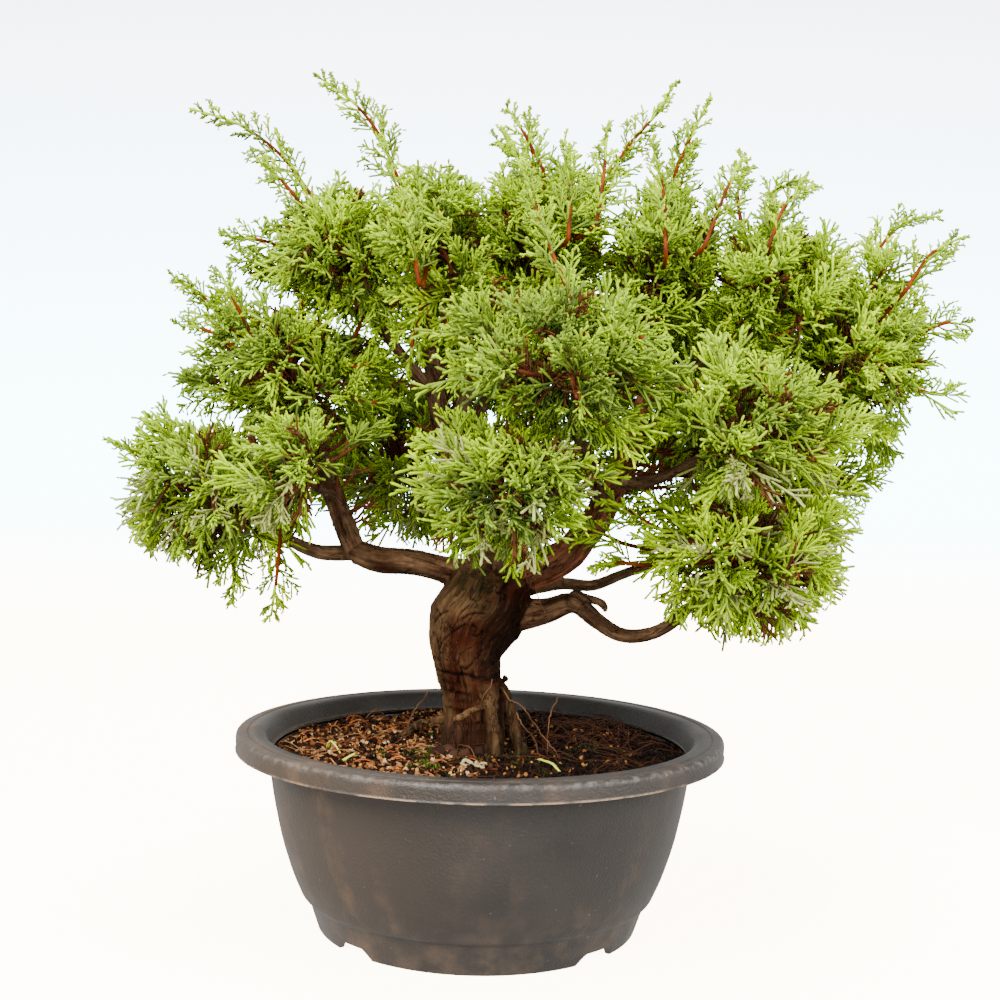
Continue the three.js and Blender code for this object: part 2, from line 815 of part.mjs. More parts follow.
// One mass: its stem runs on from the limb's tip to the middle of the oval, twigs leave the stem
// towards points spread evenly over the oval, and sprays stand out of the twigs.
function massSolid(name, mass, order, fattened) {
  const random = seededRandom(RULE.seed + RULE.seedStep * order);
  const limb = LIMBS[mass.limb];
  const tip = point(limb.path.at(-1));
  const towards = curveThrough(limb.path).getTangent(1);
  const middle = point(mass.middle);
  const start = tip.clone().addScaledVector(towards, GAP);
  const straight = start.clone().addScaledVector(towards, RULE.stemStraight);
  const radius = limb.radii.at(-1);
  let core = coreSolid(name, mass, random);
  for (const wood of fattened) core = core.subtract(wood);
  const solids = [
    largestBody(core),
    toSolid(limbGeometry([start, straight, middle], [radius, radius, radius * 0.6], 6, 1)),
  ];
  for (let k = 0; k < RULE.twigs; k++) {
    const height = 1 - (2 * k + 1) / RULE.twigs;
    const turn = k * GOLDEN_ANGLE + random();
    const flat = Math.sqrt(1 - height * height);
    const heading = new THREE.Vector3(flat * Math.cos(turn), flat * Math.sin(turn), height);
    const end = heading.clone().multiply(point(mass.reach));
    end.multiplyScalar(lerp(...RULE.twigEnd, random())).add(middle);
    const bend = middle.clone().lerp(end, 0.5).addScaledVector(UP, RULE.twigRise);
    if (!lineIsFree(name, bend, end, RULE.twigRadius, false)) continue;
    const points = [middle, bend, end];
    const radii = [RULE.twigRadius, RULE.twigRadius, RULE.twigRadius / 2];
    solids.push(toSolid(limbGeometry(points, radii, 3, 1)));
    solids.push(...spraysAlong(name, points, RULE.twigSprays, RULE.sideSprays, random, 1, false));
  }
  for (const shoot of mass.shoots) {
    const outer = shoot.map(point).reverse();
    const points = [middle, ...outer.slice(0, -1), outer.at(-1).clone().lerp(outer.at(-2), 0.5)];
    const radii = points.map((_, i) => lerp(...RULE.shootRadius, i / (points.length - 1)));
    solids.push(toSolid(limbGeometry(points, radii, 3, 1)));
    const length = outer[0].distanceTo(outer.at(-1));
    const ends = [RULE.shootStart, 1 - (RULE.sprayLength * RULE.shootSpraySize) / length];
    const count = Math.round(length / RULE.shootSpacing);
    solids.push(...spraysAlong(name, outer, ends, count, random, RULE.shootSpraySize, true));
  }
  return largestBody(solids.reduce((joined, solid) => joined.add(solid)));
}

const LOOKS = {
  plastic: { color: 0x45423f, roughness: 0.55, metalness: 0 },
  soil: { color: 0x4a3122, roughness: 1, metalness: 0 },
  bark: { color: 0x7d5743, roughness: 0.85, metalness: 0 },
  foliage: { color: 0x7ba238, roughness: 0.6, metalness: 0 },
};

const tree = new THREE.Group();

function place(name, solid, look) {
  const mesh = new THREE.Mesh(toGeometry(solid), new THREE.MeshStandardMaterial(LOOKS[look]));
  mesh.name = name;
  tree.add(mesh);
}

place("pot", potSolid(), "plastic");
place("soil", soilSolid(), "soil");
const { grown, fattened } = growLimbs();
for (const [name, wood] of Object.entries(grown)) place(name, wood, "bark");
Object.entries(MASSES).forEach(([name, mass], order) => {
  place("foliage_" + name, massSolid(name, mass, order, fattened), "foliage");
});

// The origin goes to the middle of the underside of the whole tree's box.
const box = new THREE.Box3().setFromObject(tree);
const middleOfBox = box.getCenter(new THREE.Vector3());
tree.position.set(-middleOfBox.x, -middleOfBox.y, 0);

export default tree;
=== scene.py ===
import itertools

import bpy
import numpy as np
from mathutils import Matrix, Vector


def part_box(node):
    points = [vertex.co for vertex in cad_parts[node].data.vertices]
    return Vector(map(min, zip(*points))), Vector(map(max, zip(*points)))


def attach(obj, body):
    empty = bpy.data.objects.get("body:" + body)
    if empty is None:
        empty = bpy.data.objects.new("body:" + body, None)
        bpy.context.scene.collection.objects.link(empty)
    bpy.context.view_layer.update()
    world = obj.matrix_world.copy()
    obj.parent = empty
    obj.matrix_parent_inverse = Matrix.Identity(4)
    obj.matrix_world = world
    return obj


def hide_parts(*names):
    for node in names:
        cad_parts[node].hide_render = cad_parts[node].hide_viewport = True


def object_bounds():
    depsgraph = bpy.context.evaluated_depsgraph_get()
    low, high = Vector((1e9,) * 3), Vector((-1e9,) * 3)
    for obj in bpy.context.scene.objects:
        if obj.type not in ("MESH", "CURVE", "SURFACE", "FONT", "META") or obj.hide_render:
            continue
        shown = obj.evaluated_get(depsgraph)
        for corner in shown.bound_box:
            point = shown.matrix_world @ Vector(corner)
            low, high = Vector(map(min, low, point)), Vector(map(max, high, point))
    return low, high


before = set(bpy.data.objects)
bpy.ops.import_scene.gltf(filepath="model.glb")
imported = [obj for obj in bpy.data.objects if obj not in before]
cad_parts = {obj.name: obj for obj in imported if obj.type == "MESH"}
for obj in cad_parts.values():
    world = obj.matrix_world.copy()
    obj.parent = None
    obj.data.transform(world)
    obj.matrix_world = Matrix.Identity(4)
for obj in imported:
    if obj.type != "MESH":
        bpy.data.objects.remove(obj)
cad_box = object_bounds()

# The pot: one thin shell of black plastic, moulded with a folded rim, a foot ring with four
# notches, and a floor with five drain holes. The tree and its soil stand in it.
# Lengths are in millimetres, and places are measured from the pot's axis on the ground.
MM = 0.001
pot_low, pot_high = np.array(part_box("pot")) / MM
AXIS = np.append((pot_low + pot_high)[:2] / 2, 0)
RIM_RADIUS = (pot_high - pot_low)[0] / 2
RIM_TOP = pot_high[2]
POT_WALL = 2.5
BAND_FOOT = RIM_TOP - 7.2
FLOOR_UNDER = 10.0
FLOOR_TOP = 12.5
# The outside of the wall: radius, height, and how softly the outline turns there.
POT_OUTSIDE = [(72.4, 14.4, 1.4), (76.4, 23.5, 4), (80.8, 37, 6), (84.4, 54, 6), (86.6, 69, 4)]
NOTCH_FOOT = 20.0
NOTCH_CROWN = 12.0
NOTCH_HEIGHT = 4.2
FOOT_RADIUS = 65.2
FOOT_SLANT = 0.35
MIDDLE_RADIUS = 20.0
DRAIN_RADIUS = 5.0
DRAIN_RING = 42.0
DRAIN_SIDES = 24
DRILL_PAST = 3.0
POT_SEGMENTS = 288
CORNER_STEPS = 6


def softened(corners):
    """An outline with rounded corners. At a corner of softness s it leaves one side s before the
    corner a and joins the other s after it, on the curve (1-t)^2 before + 2t(1-t) a + t^2 after."""
    corners = np.array(corners, float)
    places = corners[:, :2]
    share = np.linspace(0, 1, CORNER_STEPS)[:, None]
    outline = [places[:1]]
    for before, corner, after, soft in zip(places, places[1:], places[2:], corners[1:, 2]):
        leave = corner + (before - corner) * soft / np.linalg.norm(before - corner)
        join = corner + (after - corner) * soft / np.linalg.norm(after - corner)
        curve = (1 - share) ** 2 * leave + 2 * share * (1 - share) * corner + share**2 * join
        outline.append(curve if soft else corner[None])
    return np.vstack(outline + [places[-1:]])


def skin(rings, first, last):
    """Closed skins from rings of points, given as skins x rings x points x 3. Each ring is joined
    to the next by quads, and the end rings to the points first and last by triangles."""
    skins, rows, sides, _ = rings.shape
    size = rows * sides + 2
    points = np.concatenate([rings.reshape(skins, -1, 3), first[:, None], last[:, None]], axis=1)
    row, side = np.meshgrid(np.arange(rows - 1), np.arange(sides), indexing="ij")
    here = row * sides + side
    beside = row * sides + (side + 1) % sides
    quads = np.stack([here, beside, beside + sides, here + sides], axis=-1).reshape(-1, 4)
    around = np.arange(sides)
    onward = (around + 1) % sides
    top = (rows - 1) * sides
    foot_fan = np.stack([np.full(sides, size - 2), onward, around], axis=-1)
    tip_fan = np.stack([np.full(sides, size - 1), top + around, top + onward], axis=-1)
    fans = np.concatenate([foot_fan, tip_fan])
    starts = np.arange(skins)[:, None, None] * size
    return points.reshape(-1, 3), (quads + starts).reshape(-1, 4), (fans + starts).reshape(-1, 3)


def put_points(mesh, points):
    """Puts a mesh's points at places in millimetres from the pot's axis."""
    mesh.vertices.foreach_set("co", ((points + AXIS) * MM).astype(np.float32).ravel())


def make_piece(name, shape, finishes, finish_of=None):
    """A mesh in metres from a shape of points, quads and triangles in millimetres. finish_of gives
    the number of the finish of each skin, shared evenly over the quads and over the triangles, or
    is a pair of such lists, one for each, where some skins have no quads."""
    points, quads, triangles = shape
    mesh = bpy.data.meshes.new(name)
    mesh.vertices.add(len(points))
    put_points(mesh, points)
    corners = np.concatenate([quads.ravel(), triangles.ravel()]).astype(np.int32)
    quad_starts = np.arange(len(quads)) * 4
    triangle_starts = np.arange(len(triangles)) * 3 + quads.size
    mesh.loops.add(len(corners))
    mesh.loops.foreach_set("vertex_index", corners)
    mesh.polygons.add(len(quads) + len(triangles))
    starts = np.concatenate([quad_starts, triangle_starts]).astype(np.int32)
    mesh.polygons.foreach_set("loop_start", starts)
    mesh.polygons.foreach_set("use_smooth", np.ones(len(starts), bool))
    for finish in finishes:
        mesh.materials.append(finish)
    if finish_of is not None:
        lists = finish_of if isinstance(finish_of, tuple) else (finish_of, finish_of)
        shares = [np.repeat(of, len(faces) // len(of)) for of, faces in zip(lists, (quads, triangles))]
        mesh.polygons.foreach_set("material_index", np.concatenate(shares).astype(np.int32))
    mesh.update(calc_edges=True)
    mesh.validate()
    piece = bpy.data.objects.new(name, mesh)
    bpy.context.scene.collection.objects.link(piece)
    return piece


def paint(*levels):
    """A colour given in screen levels from 0 to 255, as the linear light that a shader takes."""
    share = np.array(levels) / 255
    return np.where(share <= 0.04045, share / 12.92, ((share + 0.055) / 1.055) ** 2.4)


def start_finish(name, colour, roughness, shine=0.06):
    """A new material of one plain colour and roughness, with a little shine."""
    finish = bpy.data.materials.new(name)
    finish.use_nodes = True
    shader = finish.node_tree.nodes["Principled BSDF"]
    shader.inputs["Base Color"].default_value = (*paint(*colour), 1)
    shader.inputs["Roughness"].default_value = roughness
    shader.inputs["Specular IOR Level"].default_value = shine
    return finish


def put(finish, kind, inputs, **options):
    """Adds a node to a material. Its inputs, by name or number, are values or other outputs."""
    tree = finish.node_tree
    node = tree.nodes.new("ShaderNode" + kind)
    for option, value in options.items():
        setattr(node, option, value)
    for socket, value in inputs.items():
        if isinstance(value, bpy.types.NodeSocket):
            tree.links.new(value, node.inputs[socket])
        else:
            node.inputs[socket].default_value = value
    return node


def places(finish):
    """Places on the piece in metres, measured from the pot's axis on the ground."""
    coordinates = put(finish, "TexCoord", {}).outputs["Object"]
    return put(finish, "Mapping", {"Vector": coordinates, "Location": tuple(-AXIS * MM)}).outputs[0]


def noise(finish, where, scale, detail=3):
    """Cloudy noise from about 0 to 1, with scale cells a metre."""
    inputs = {"Vector": where, "Scale": scale, "Detail": detail}
    return put(finish, "TexNoise", inputs).outputs["Fac"]


def between(finish, value, low, high, least=0.0, most=1.0):
    """The least where the value is below low, the most above high, and even in between."""
    inputs = {"Value": value, "From Min": low, "From Max": high, "To Min": least, "To Max": most}
    return put(finish, "MapRange", inputs).outputs["Result"]


def worked_out(finish, operation, *values):
    """A sum worked out from one or two masks or numbers."""
    return put(finish, "Math", dict(enumerate(values)), operation=operation).outputs[0]


def times(finish, one, other):
    """Two masks multiplied."""
    return worked_out(finish, "MULTIPLY", one, other)


def blended(finish, mask, colour, over):
    """A colour laid by a mask over another one, which is a colour or an output."""
    under = (*paint(*over), 1) if isinstance(over, tuple) else over
    inputs = {0: mask, 7: (*paint(*colour), 1), 6: under}
    return put(finish, "Mix", inputs, data_type="RGBA").outputs[2]


def dress(finish, colour, height, depth, strength, roughness=None):
    """Joins patterns to the shader: its colour, a height drawn as fine bumps of a depth in metres,
    and its roughness where that has a pattern too."""
    shader = finish.node_tree.nodes["Principled BSDF"]
    bump = put(finish, "Bump", {"Strength": strength, "Distance": depth, "Height": height})
    finish.node_tree.links.new(colour, shader.inputs["Base Color"])
    finish.node_tree.links.new(bump.outputs[0], shader.inputs["Normal"])
    if roughness is not None:
        finish.node_tree.links.new(roughness, shader.inputs["Roughness"])


def ramp(values, none_at, all_at):
    """0 at none_at and before it, 1 at all_at and past it, and even in between."""
    return np.clip((values - none_at) / (all_at - none_at), 0, 1)


def pot_shape():
    """The pot's outline turned about its axis, from the middle of the underside round to the
    middle of the floor. In a notch, the foot's low points slide up along its slanted wall. The
    outline's corners are given as radius, height and softness, like those of the outside."""
    inner_wall = [(r - POT_WALL, z, soft) for r, z, soft in reversed(POT_OUTSIDE)]
    outline = softened([
        (MIDDLE_RADIUS, FLOOR_UNDER, 0),
        (66.1, FLOOR_UNDER, 1.2),
        (62.9, 0, 0.5),
        (65.4, 0, 0.7),
        (69.7, 12.6, 1.0),
        *POT_OUTSIDE,
        (87.4, RIM_TOP - 2.4, 1),
        (RIM_RADIUS - 2.6, RIM_TOP - 2.4, 1),
        (RIM_RADIUS - 2.2, BAND_FOOT, 0.4),
        (RIM_RADIUS + 0.15, BAND_FOOT, 0.3),
        (RIM_RADIUS - 0.25, BAND_FOOT + 0.8, 0.3),
        (RIM_RADIUS, RIM_TOP - 0.2, 2.2),
        (95.6, RIM_TOP, 0.4),
        (94.9, RIM_TOP - 0.7, 0.3),
        (94.2, RIM_TOP, 0.4),
        (88.4, RIM_TOP + 0.1, 2.6),
        (84.9, 72.6, 1.5),
        *inner_wall,
        (66.5, FLOOR_TOP, 1.5),
        (MIDDLE_RADIUS, FLOOR_TOP, 0),
    ])
    turn = np.linspace(0, 2 * np.pi, POT_SEGMENTS, endpoint=False)
    radius, height = (np.tile(values[:, None], POT_SEGMENTS) for values in outline.T)
    from_notch = (turn % (np.pi / 2) - np.pi / 4) * FOOT_RADIUS
    notch = NOTCH_HEIGHT * ramp(np.abs(from_notch), NOTCH_FOOT / 2, NOTCH_CROWN / 2)
    lift = notch * ramp(height, FLOOR_UNDER - 1, 0)
    radius = radius + lift * FOOT_SLANT
    height = height + lift
    rings = np.stack([radius * np.cos(turn), radius * np.sin(turn), height], axis=-1)
    middles = np.array([[[0, 0, FLOOR_UNDER]], [[0, 0, FLOOR_TOP]]])
    return skin(rings[None], *middles)


def settled(piece):
    """Applies a piece's modifiers for good, and gives its new mesh."""
    finished = piece.evaluated_get(bpy.context.evaluated_depsgraph_get())
    mesh = bpy.data.meshes.new_from_object(finished)
    piece.modifiers.clear()
    piece.data = mesh
    return mesh


def drilled(piece, drill):
    """Cuts one closed mesh out of another for good, and removes the cutter."""
    cut = piece.modifiers.new("drain holes", "BOOLEAN")
    cut.object = drill
    cut.solver = "EXACT"
    settled(piece)
    bpy.data.objects.remove(drill)


def drain_shape():
    """One upright round cutter for each drain hole: the middle one, and four round it."""
    turn = np.linspace(0, 2 * np.pi, DRAIN_SIDES, endpoint=False)
    circle = np.stack([np.cos(turn), np.sin(turn)], axis=-1) * DRAIN_RADIUS
    middles = np.array([[0, 0], [1, 0], [0, 1], [-1, 0], [0, -1]]) * DRAIN_RING
    rings = np.zeros((len(middles), 2, DRAIN_SIDES, 3))
    rings[..., :2] = middles[:, None, None] + circle
    rings[..., 2] = np.array([FLOOR_UNDER - DRILL_PAST, FLOOR_TOP + DRILL_PAST])[:, None]
    ends = rings.mean(axis=2)
    return skin(rings, ends[:, 0], ends[:, 1])


def across_rim(none_at, all_at):
    """A mask that grows between two distances in from the rim's outer radius."""
    return between(plastic, pot_radius, (RIM_RADIUS - none_at) * MM, (RIM_RADIUS - all_at) * MM)


# Grey-brown plastic in two soft tones, lighter and browner on the left: partly dust, and partly
# painted light where it faces the lamp.
plastic = start_finish("pot plastic", (42, 39, 37), 0.5, 0.38)
on_pot = places(plastic)
split_pot = put(plastic, "SeparateXYZ", {"Vector": on_pot})
pot_height = split_pot.outputs["Z"]
clouds = noise(plastic, on_pot, 26)
fine_clouds = noise(plastic, on_pot, 130, 5)
pot_colour = blended(plastic, between(plastic, clouds, 0.35, 0.68), (37, 32, 28), (28, 24, 21))
left_side = between(plastic, split_pot.outputs["X"], 0.01, -0.085)
# Painted light, partly dust: a lighter brown laid over the left side.
pot_colour = blended(plastic, times(plastic, left_side, 0.85), (62, 51, 41), pot_colour)
# Dust in streaks down the wall, thicker round the foot, and a few pale specks.
drawn_down = put(plastic, "Mapping", {"Vector": on_pot, "Scale": (1, 1, 0.22)}).outputs[0]
streaks = between(plastic, noise(plastic, drawn_down, 60, 6), 0.5, 0.74)
dust = times(plastic, streaks, between(plastic, fine_clouds, 0.36, 0.62))
dust = times(plastic, dust, between(plastic, left_side, 0, 1, 0.25, 0.7))
pot_colour = blended(plastic, dust, (100, 76, 54), pot_colour)
low_down = between(plastic, pot_height, 0.03, 0.004)
foot_dust = times(plastic, low_down, between(plastic, fine_clouds, 0.4, 0.8))
pot_colour = blended(plastic, times(plastic, foot_dust, 0.5), (86, 70, 54), pot_colour)
specks = between(plastic, noise(plastic, on_pot, 700, 1), 0.77, 0.8)
pot_colour = blended(plastic, times(plastic, specks, 0.25), (130, 116, 96), pot_colour)
# Scuffs on the rim's edge, partly a painted highlight, soil caught in the parting under it,
# and painted shade, nearly black, on the inside above the soil.
flat_on_pot = put(plastic, "CombineXYZ", {"X": split_pot.outputs["X"], "Y": split_pot.outputs["Y"]})
pot_radius = put(plastic, "VectorMath", {0: flat_on_pot.outputs[0]}, operation="LENGTH").outputs["Value"]
at_the_top = between(plastic, pot_height, (RIM_TOP - 3) * MM, (RIM_TOP - 0.6) * MM)
# Pale scuffs along the rim's top edge, which are partly a painted highlight.
scuff_glint_patches = between(plastic, noise(plastic, on_pot, 340, 4), 0.46, 0.62)
scuffs_and_highlight = times(plastic, times(plastic, across_rim(2.6, 0.8), at_the_top), scuff_glint_patches)
pot_colour = blended(plastic, times(plastic, scuffs_and_highlight, 0.36), (108, 104, 102), pot_colour)
at_the_parting = between(plastic, pot_height, (BAND_FOOT + 0.9) * MM, (BAND_FOOT + 0.3) * MM)
caught = times(plastic, across_rim(1.4, 0.4), between(plastic, fine_clouds, 0.45, 0.6))
parting = times(plastic, at_the_parting, caught)
pot_colour = blended(plastic, times(plastic, parting, 0.7), (130, 106, 80), pot_colour)
# Painted shade: the inside of the wall and the inner part of the rim's top above the soil are made nearly
# black.
above_soil = between(plastic, pot_height, (RIM_TOP - 7) * MM, (RIM_TOP - 6) * MM)
inside = times(plastic, above_soil, across_rim(6.5, 9))
pot_colour = blended(plastic, times(plastic, inside, 0.85), (13, 11, 9), pot_colour)
pot_gloss = between(plastic, clouds, 0.3, 0.7, 0.42, 0.6)
dress(plastic, pot_colour, noise(plastic, on_pot, 1100, 2), 0.0006, 0.55, pot_gloss)

pot = make_piece("pot_shell", pot_shape(), [plastic])
drilled(pot, make_piece("drain_drill", drain_shape(), [plastic]))
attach(pot, "root")
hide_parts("pot")

# The soil: dark, peaty potting mix, filled to just under the rim, mounded a little at the trunk,
# and higher at the back right, where the roots have pushed it up.
SOIL_SEAT = 73.0
SOIL_SHOULDER = 71.0
SOIL_EDGE = 70.6
SEAT_RADIUS = 32.0
SHOULDER_RADIUS = 62.0
SOIL_RADIUS = 84.4
SOIL_FOOT = FLOOR_TOP + 0.4
SOIL_FOOT_RADIUS = 65.0
SOIL_FROM_WALL = 0.5
SOIL_RINGS = 90
SOIL_SEGMENTS = 240
MOUND_PLACE = (44.0, 26.0)
MOUND_SPREAD = 24.0
MOUND_HEIGHT = 4.0
# Each wave of the lumps has a height, a length from crest to crest, a direction and a shift.
LUMPS = [(0.7, 31.0, 0.4, 3.0), (0.6, 25.0, 1.5, 9.0), (0.5, 21.0, 2.6, 5.0)]
LUMPS_FADE = 6.0
# Lengths of the two noises that make the fine lumps, and cells after which noise repeats.
CLUMP_LENGTH = 8.0
CRUMB_LENGTH = 3.2
LATTICE = 32


def lattice_noise(places_at, seed):
    """Smooth noise from -1 to 1. Every corner of a unit lattice has a random number, and a point's
    value is blended from the eight corners of its cell by the curve 3t^2 - 2t^3."""
    table = np.random.default_rng(seed).uniform(-1, 1, (LATTICE, LATTICE, LATTICE))
    cell = np.floor(places_at).astype(int)
    part = places_at - cell
    part = part * part * (3 - 2 * part)
    total = np.zeros(places_at.shape[:-1])
    for corner in itertools.product((0, 1), repeat=3):
        weight = np.prod(np.where(corner, part, 1 - part), axis=-1)
        at = (cell + corner) % LATTICE
        total += weight * table[at[..., 0], at[..., 1], at[..., 2]]
    return total


def soil_height(x, y):
    """Height of the soil: a level seat round the trunk, falling to the wall. A mound at the back
    right and lumps, as the sum of a few waves, rise from nothing at the seat and at the wall, and
    fine lumps of noise lie over all of it."""
    radius = np.hypot(x, y)
    stops = [SEAT_RADIUS, SHOULDER_RADIUS, SOIL_RADIUS]
    base = np.interp(radius, stops, [SOIL_SEAT, SOIL_SHOULDER, SOIL_EDGE])
    from_mound = np.hypot(x - MOUND_PLACE[0], y - MOUND_PLACE[1]) / MOUND_SPREAD
    rise = MOUND_HEIGHT * np.exp(-from_mound**2)
    for height, length, direction, shift in LUMPS:
        along = x * np.cos(direction) + y * np.sin(direction) + shift
        rise = rise + height * np.sin(2 * np.pi * along / length)
    room = np.minimum(radius - SEAT_RADIUS, SOIL_RADIUS - radius) / LUMPS_FADE
    flat = np.stack([x, y, np.zeros_like(x)], axis=-1)
    fine = 0.5 * lattice_noise(flat / CLUMP_LENGTH, 3) + 0.5 * lattice_noise(flat / CRUMB_LENGTH, 4)
    return base + np.clip(room, 0, 1) * rise + fine


def soil_shape():
    """The soil's body: up the inside of the pot's wall and in over the top in fine rings, with the
    top following soil_height."""
    side = [(r - POT_WALL - SOIL_FROM_WALL, z) for r, z, _ in POT_OUTSIDE[:4:2]]
    top_radii = np.linspace(SOIL_RADIUS, 1, SOIL_RINGS)
    outline = np.array([(MIDDLE_RADIUS, SOIL_FOOT), (SOIL_FOOT_RADIUS, SOIL_FOOT), *side,
                        *[(radius, 0) for radius in top_radii]])
    turn = np.linspace(0, 2 * np.pi, SOIL_SEGMENTS, endpoint=False)
    x = outline[:, :1] * np.cos(turn)
    y = outline[:, :1] * np.sin(turn)
    z = np.tile(outline[:, 1:], len(turn))
    z[-SOIL_RINGS:] = soil_height(x, y)[-SOIL_RINGS:]
    rings = np.stack([x, y, z], axis=-1)
    centre = np.array([[0, 0, soil_height(np.zeros(1), np.zeros(1))[0]]])
    return skin(rings[None], np.array([[0, 0, SOIL_FOOT]]), centre)


humus = start_finish("humus", (36, 22, 15), 0.95)
on_soil = places(humus)
dry_patches = between(humus, noise(humus, on_soil, 300, 4), 0.4, 0.65)
soil_colour = blended(humus, dry_patches, (42, 25, 15), (15, 8, 5))
dress(humus, soil_colour, noise(humus, on_soil, 900, 4), 0.0015, 0.9)
soil = make_piece("soil_body", soil_shape(), [humus])
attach(soil, "root")
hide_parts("soil")

# The litter on the soil: crumbs of humus, grit, chips of bark, dry shed needles, fine root hairs,
# a few clods, husks and fallen shoots, and tufts of moss. All of it lies loose on top.
LITTER_RADIUS = 83.8
FIBRE_STEPS = 6
# The ends of tubes are drawn out to a point by this share of their radius.
TUBE_POINT = 0.6
# The litter is painted darker to the right, as shade under the crown, from one place across it to another.
SHADE_BEGINS_AT = -12.0
SHADE_FULL_AT = 28.0
SHADE_MOST = 0.75
litter_random = np.random.default_rng(7)


def scattered(count, inner=8.0, outer=LITTER_RADIUS):
    """Places spread evenly over a ring of the soil: the square of the radius is even."""
    radius = np.sqrt(litter_random.uniform(inner**2, outer**2, count))
    turn = litter_random.uniform(0, 2 * np.pi, count)
    return radius * np.cos(turn), radius * np.sin(turn)


def about(angles, axis):
    """Turns about one axis, as matrices: the two other axes go round, and it stays."""
    one, other = (axis + 1) % 3, (axis + 2) % 3
    turns = np.zeros((len(angles), 3, 3))
    turns[:, axis, axis] = 1
    turns[:, one, one] = turns[:, other, other] = np.cos(angles)
    turns[:, other, one] = np.sin(angles)
    turns[:, one, other] = -np.sin(angles)
    return turns


def lain(count, tilt):
    """Turns for loose bits, as matrices: any way round on the ground, then tilted up to tilt."""
    turn = litter_random.uniform(0, 2 * np.pi, count)
    lean = litter_random.uniform(-tilt, tilt, count)
    roll = litter_random.uniform(-tilt, tilt, count)
    return np.einsum("nij,njk,nkl->nil", about(turn, 2), about(lean, 1), about(roll, 0))


def crumbs(x, y, sizes, tilt):
    """Rough lumps: two five-cornered rings and two ends, each corner pulled in or out at random,
    stretched to the sizes, turned, and set half sunk on the soil."""
    count = len(x)
    turn = np.linspace(0, 2 * np.pi, 5, endpoint=False) + np.array([[0.0], [0.6]])
    ring = np.stack([np.cos(turn), np.sin(turn), np.full_like(turn, 0.5) * [[-1], [1]]], axis=-1)
    rings = ring * litter_random.uniform(0.6, 1.1, (count, 2, 5, 1))
    ends = np.array([[0, 0, -0.9], [0, 0, 0.9]]) * litter_random.uniform(0.7, 1.1, (count, 2, 1))
    turns = lain(count, tilt)
    middle = np.stack([x, y, soil_height(x, y) + sizes[:, 2] * 0.5], axis=-1)
    rings = np.einsum("nij,nrsj->nrsi", turns, rings * sizes[:, None, None]) + middle[:, None, None]
    ends = np.einsum("nij,nrj->nri", turns, ends * sizes[:, None]) + middle[:, None]
    return skin(rings, ends[:, 0], ends[:, 1])


def tubes(paths, radii, sides, across):
    """Round skins along paths, given as tubes x points x 3. Each point gets a ring square to the
    way on, turned from the direction across, and the ends are drawn to a point a little further."""
    along = np.gradient(paths, axis=1)
    along /= np.linalg.norm(along, axis=2, keepdims=True)
    level = across[:, None] - np.sum(across[:, None] * along, axis=2, keepdims=True) * along
    level /= np.maximum(np.linalg.norm(level, axis=2, keepdims=True), 1e-9)
    upright = np.cross(along, level)
    turn = np.linspace(0, 2 * np.pi, sides, endpoint=False)[:, None]
    circle = np.cos(turn) * level[:, :, None] + np.sin(turn) * upright[:, :, None]
    rings = paths[:, :, None] + radii[:, :, None, None] * circle
    first = paths[:, 0] - along[:, 0] * radii[:, :1] * TUBE_POINT
    last = paths[:, -1] + along[:, -1] * radii[:, -1:] * TUBE_POINT
    return skin(rings, first, last)


def fibres(x, y, lengths, thickness, arch, curl, sides=4):
    """Thin bent bits lying on the soil: from each place a path runs on at an even turn, following
    the soil's height, and rises in its middle by its arch."""
    count = len(x)
    share = np.linspace(0, 1, FIBRE_STEPS + 1)
    heading = litter_random.uniform(0, 2 * np.pi, (count, 1)) + curl[:, None] * share
    step = lengths[:, None] / FIBRE_STEPS
    px = x[:, None] + np.cumsum(np.cos(heading) * step, axis=1)
    py = y[:, None] + np.cumsum(np.sin(heading) * step, axis=1)
    inside = np.minimum(1, LITTER_RADIUS / np.hypot(px, py))
    px, py = px * inside, py * inside
    pz = soil_height(px, py) + thickness[:, None] + arch[:, None] * np.sin(np.pi * share)
    radii = thickness[:, None] * (1 - 0.5 * share)
    paths = np.stack([px, py, pz], axis=-1)
    up = np.tile([0.1, 0.2, 1.0], (count, 1))
    return tubes(paths, radii, sides, up)


def drawn(low, high, count):
    """Random numbers between two limits."""
    return litter_random.uniform(low, high, count)


def shades(name, roughness, *colours):
    """Finishes of one kind in several colours, from dark to light."""
    return [start_finish(f"{name} {n}", colour, roughness) for n, colour in enumerate(colours)]


def lay(name, shape, finishes, x):
    """Joins one kind of litter into a piece. Its finishes, from dark to light, are dealt out at
    random, and darker ones to the right, as painted shade under the crown."""
    # Painted shade: darker finishes to the right, under the crown.
    crown_shade = SHADE_MOST * ramp(x, SHADE_BEGINS_AT, SHADE_FULL_AT)
    number = (litter_random.uniform(size=len(x)) - crown_shade) * len(finishes)
    piece = make_piece(name, shape, finishes, np.clip(number, 0, len(finishes) - 1).astype(int))
    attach(piece, "root")


CRUMBS = 4200
x, y = scattered(CRUMBS)
size = drawn(0.5, 1.5, (CRUMBS, 1)) * drawn(0.6, 1.2, (CRUMBS, 3))
crumb_finishes = shades("crumb", 0.9, (13, 7, 4), (21, 11, 6), (34, 18, 10), (58, 32, 17), (90, 54, 28),
                        (130, 90, 50))
lay("litter_crumbs", crumbs(x, y, size, 3.0), crumb_finishes, x)

CHIPS = 520
x, y = scattered(CHIPS)
size = np.stack([drawn(1.8, 4.6, CHIPS), drawn(0.6, 1.4, CHIPS), drawn(0.3, 0.6, CHIPS)], axis=-1)
chip_finishes = shades("bark chip", 0.8, (32, 18, 11), (68, 38, 22), (106, 66, 40), (134, 98, 64))
lay("litter_chips", crumbs(x, y, size, 0.6), chip_finishes, x)

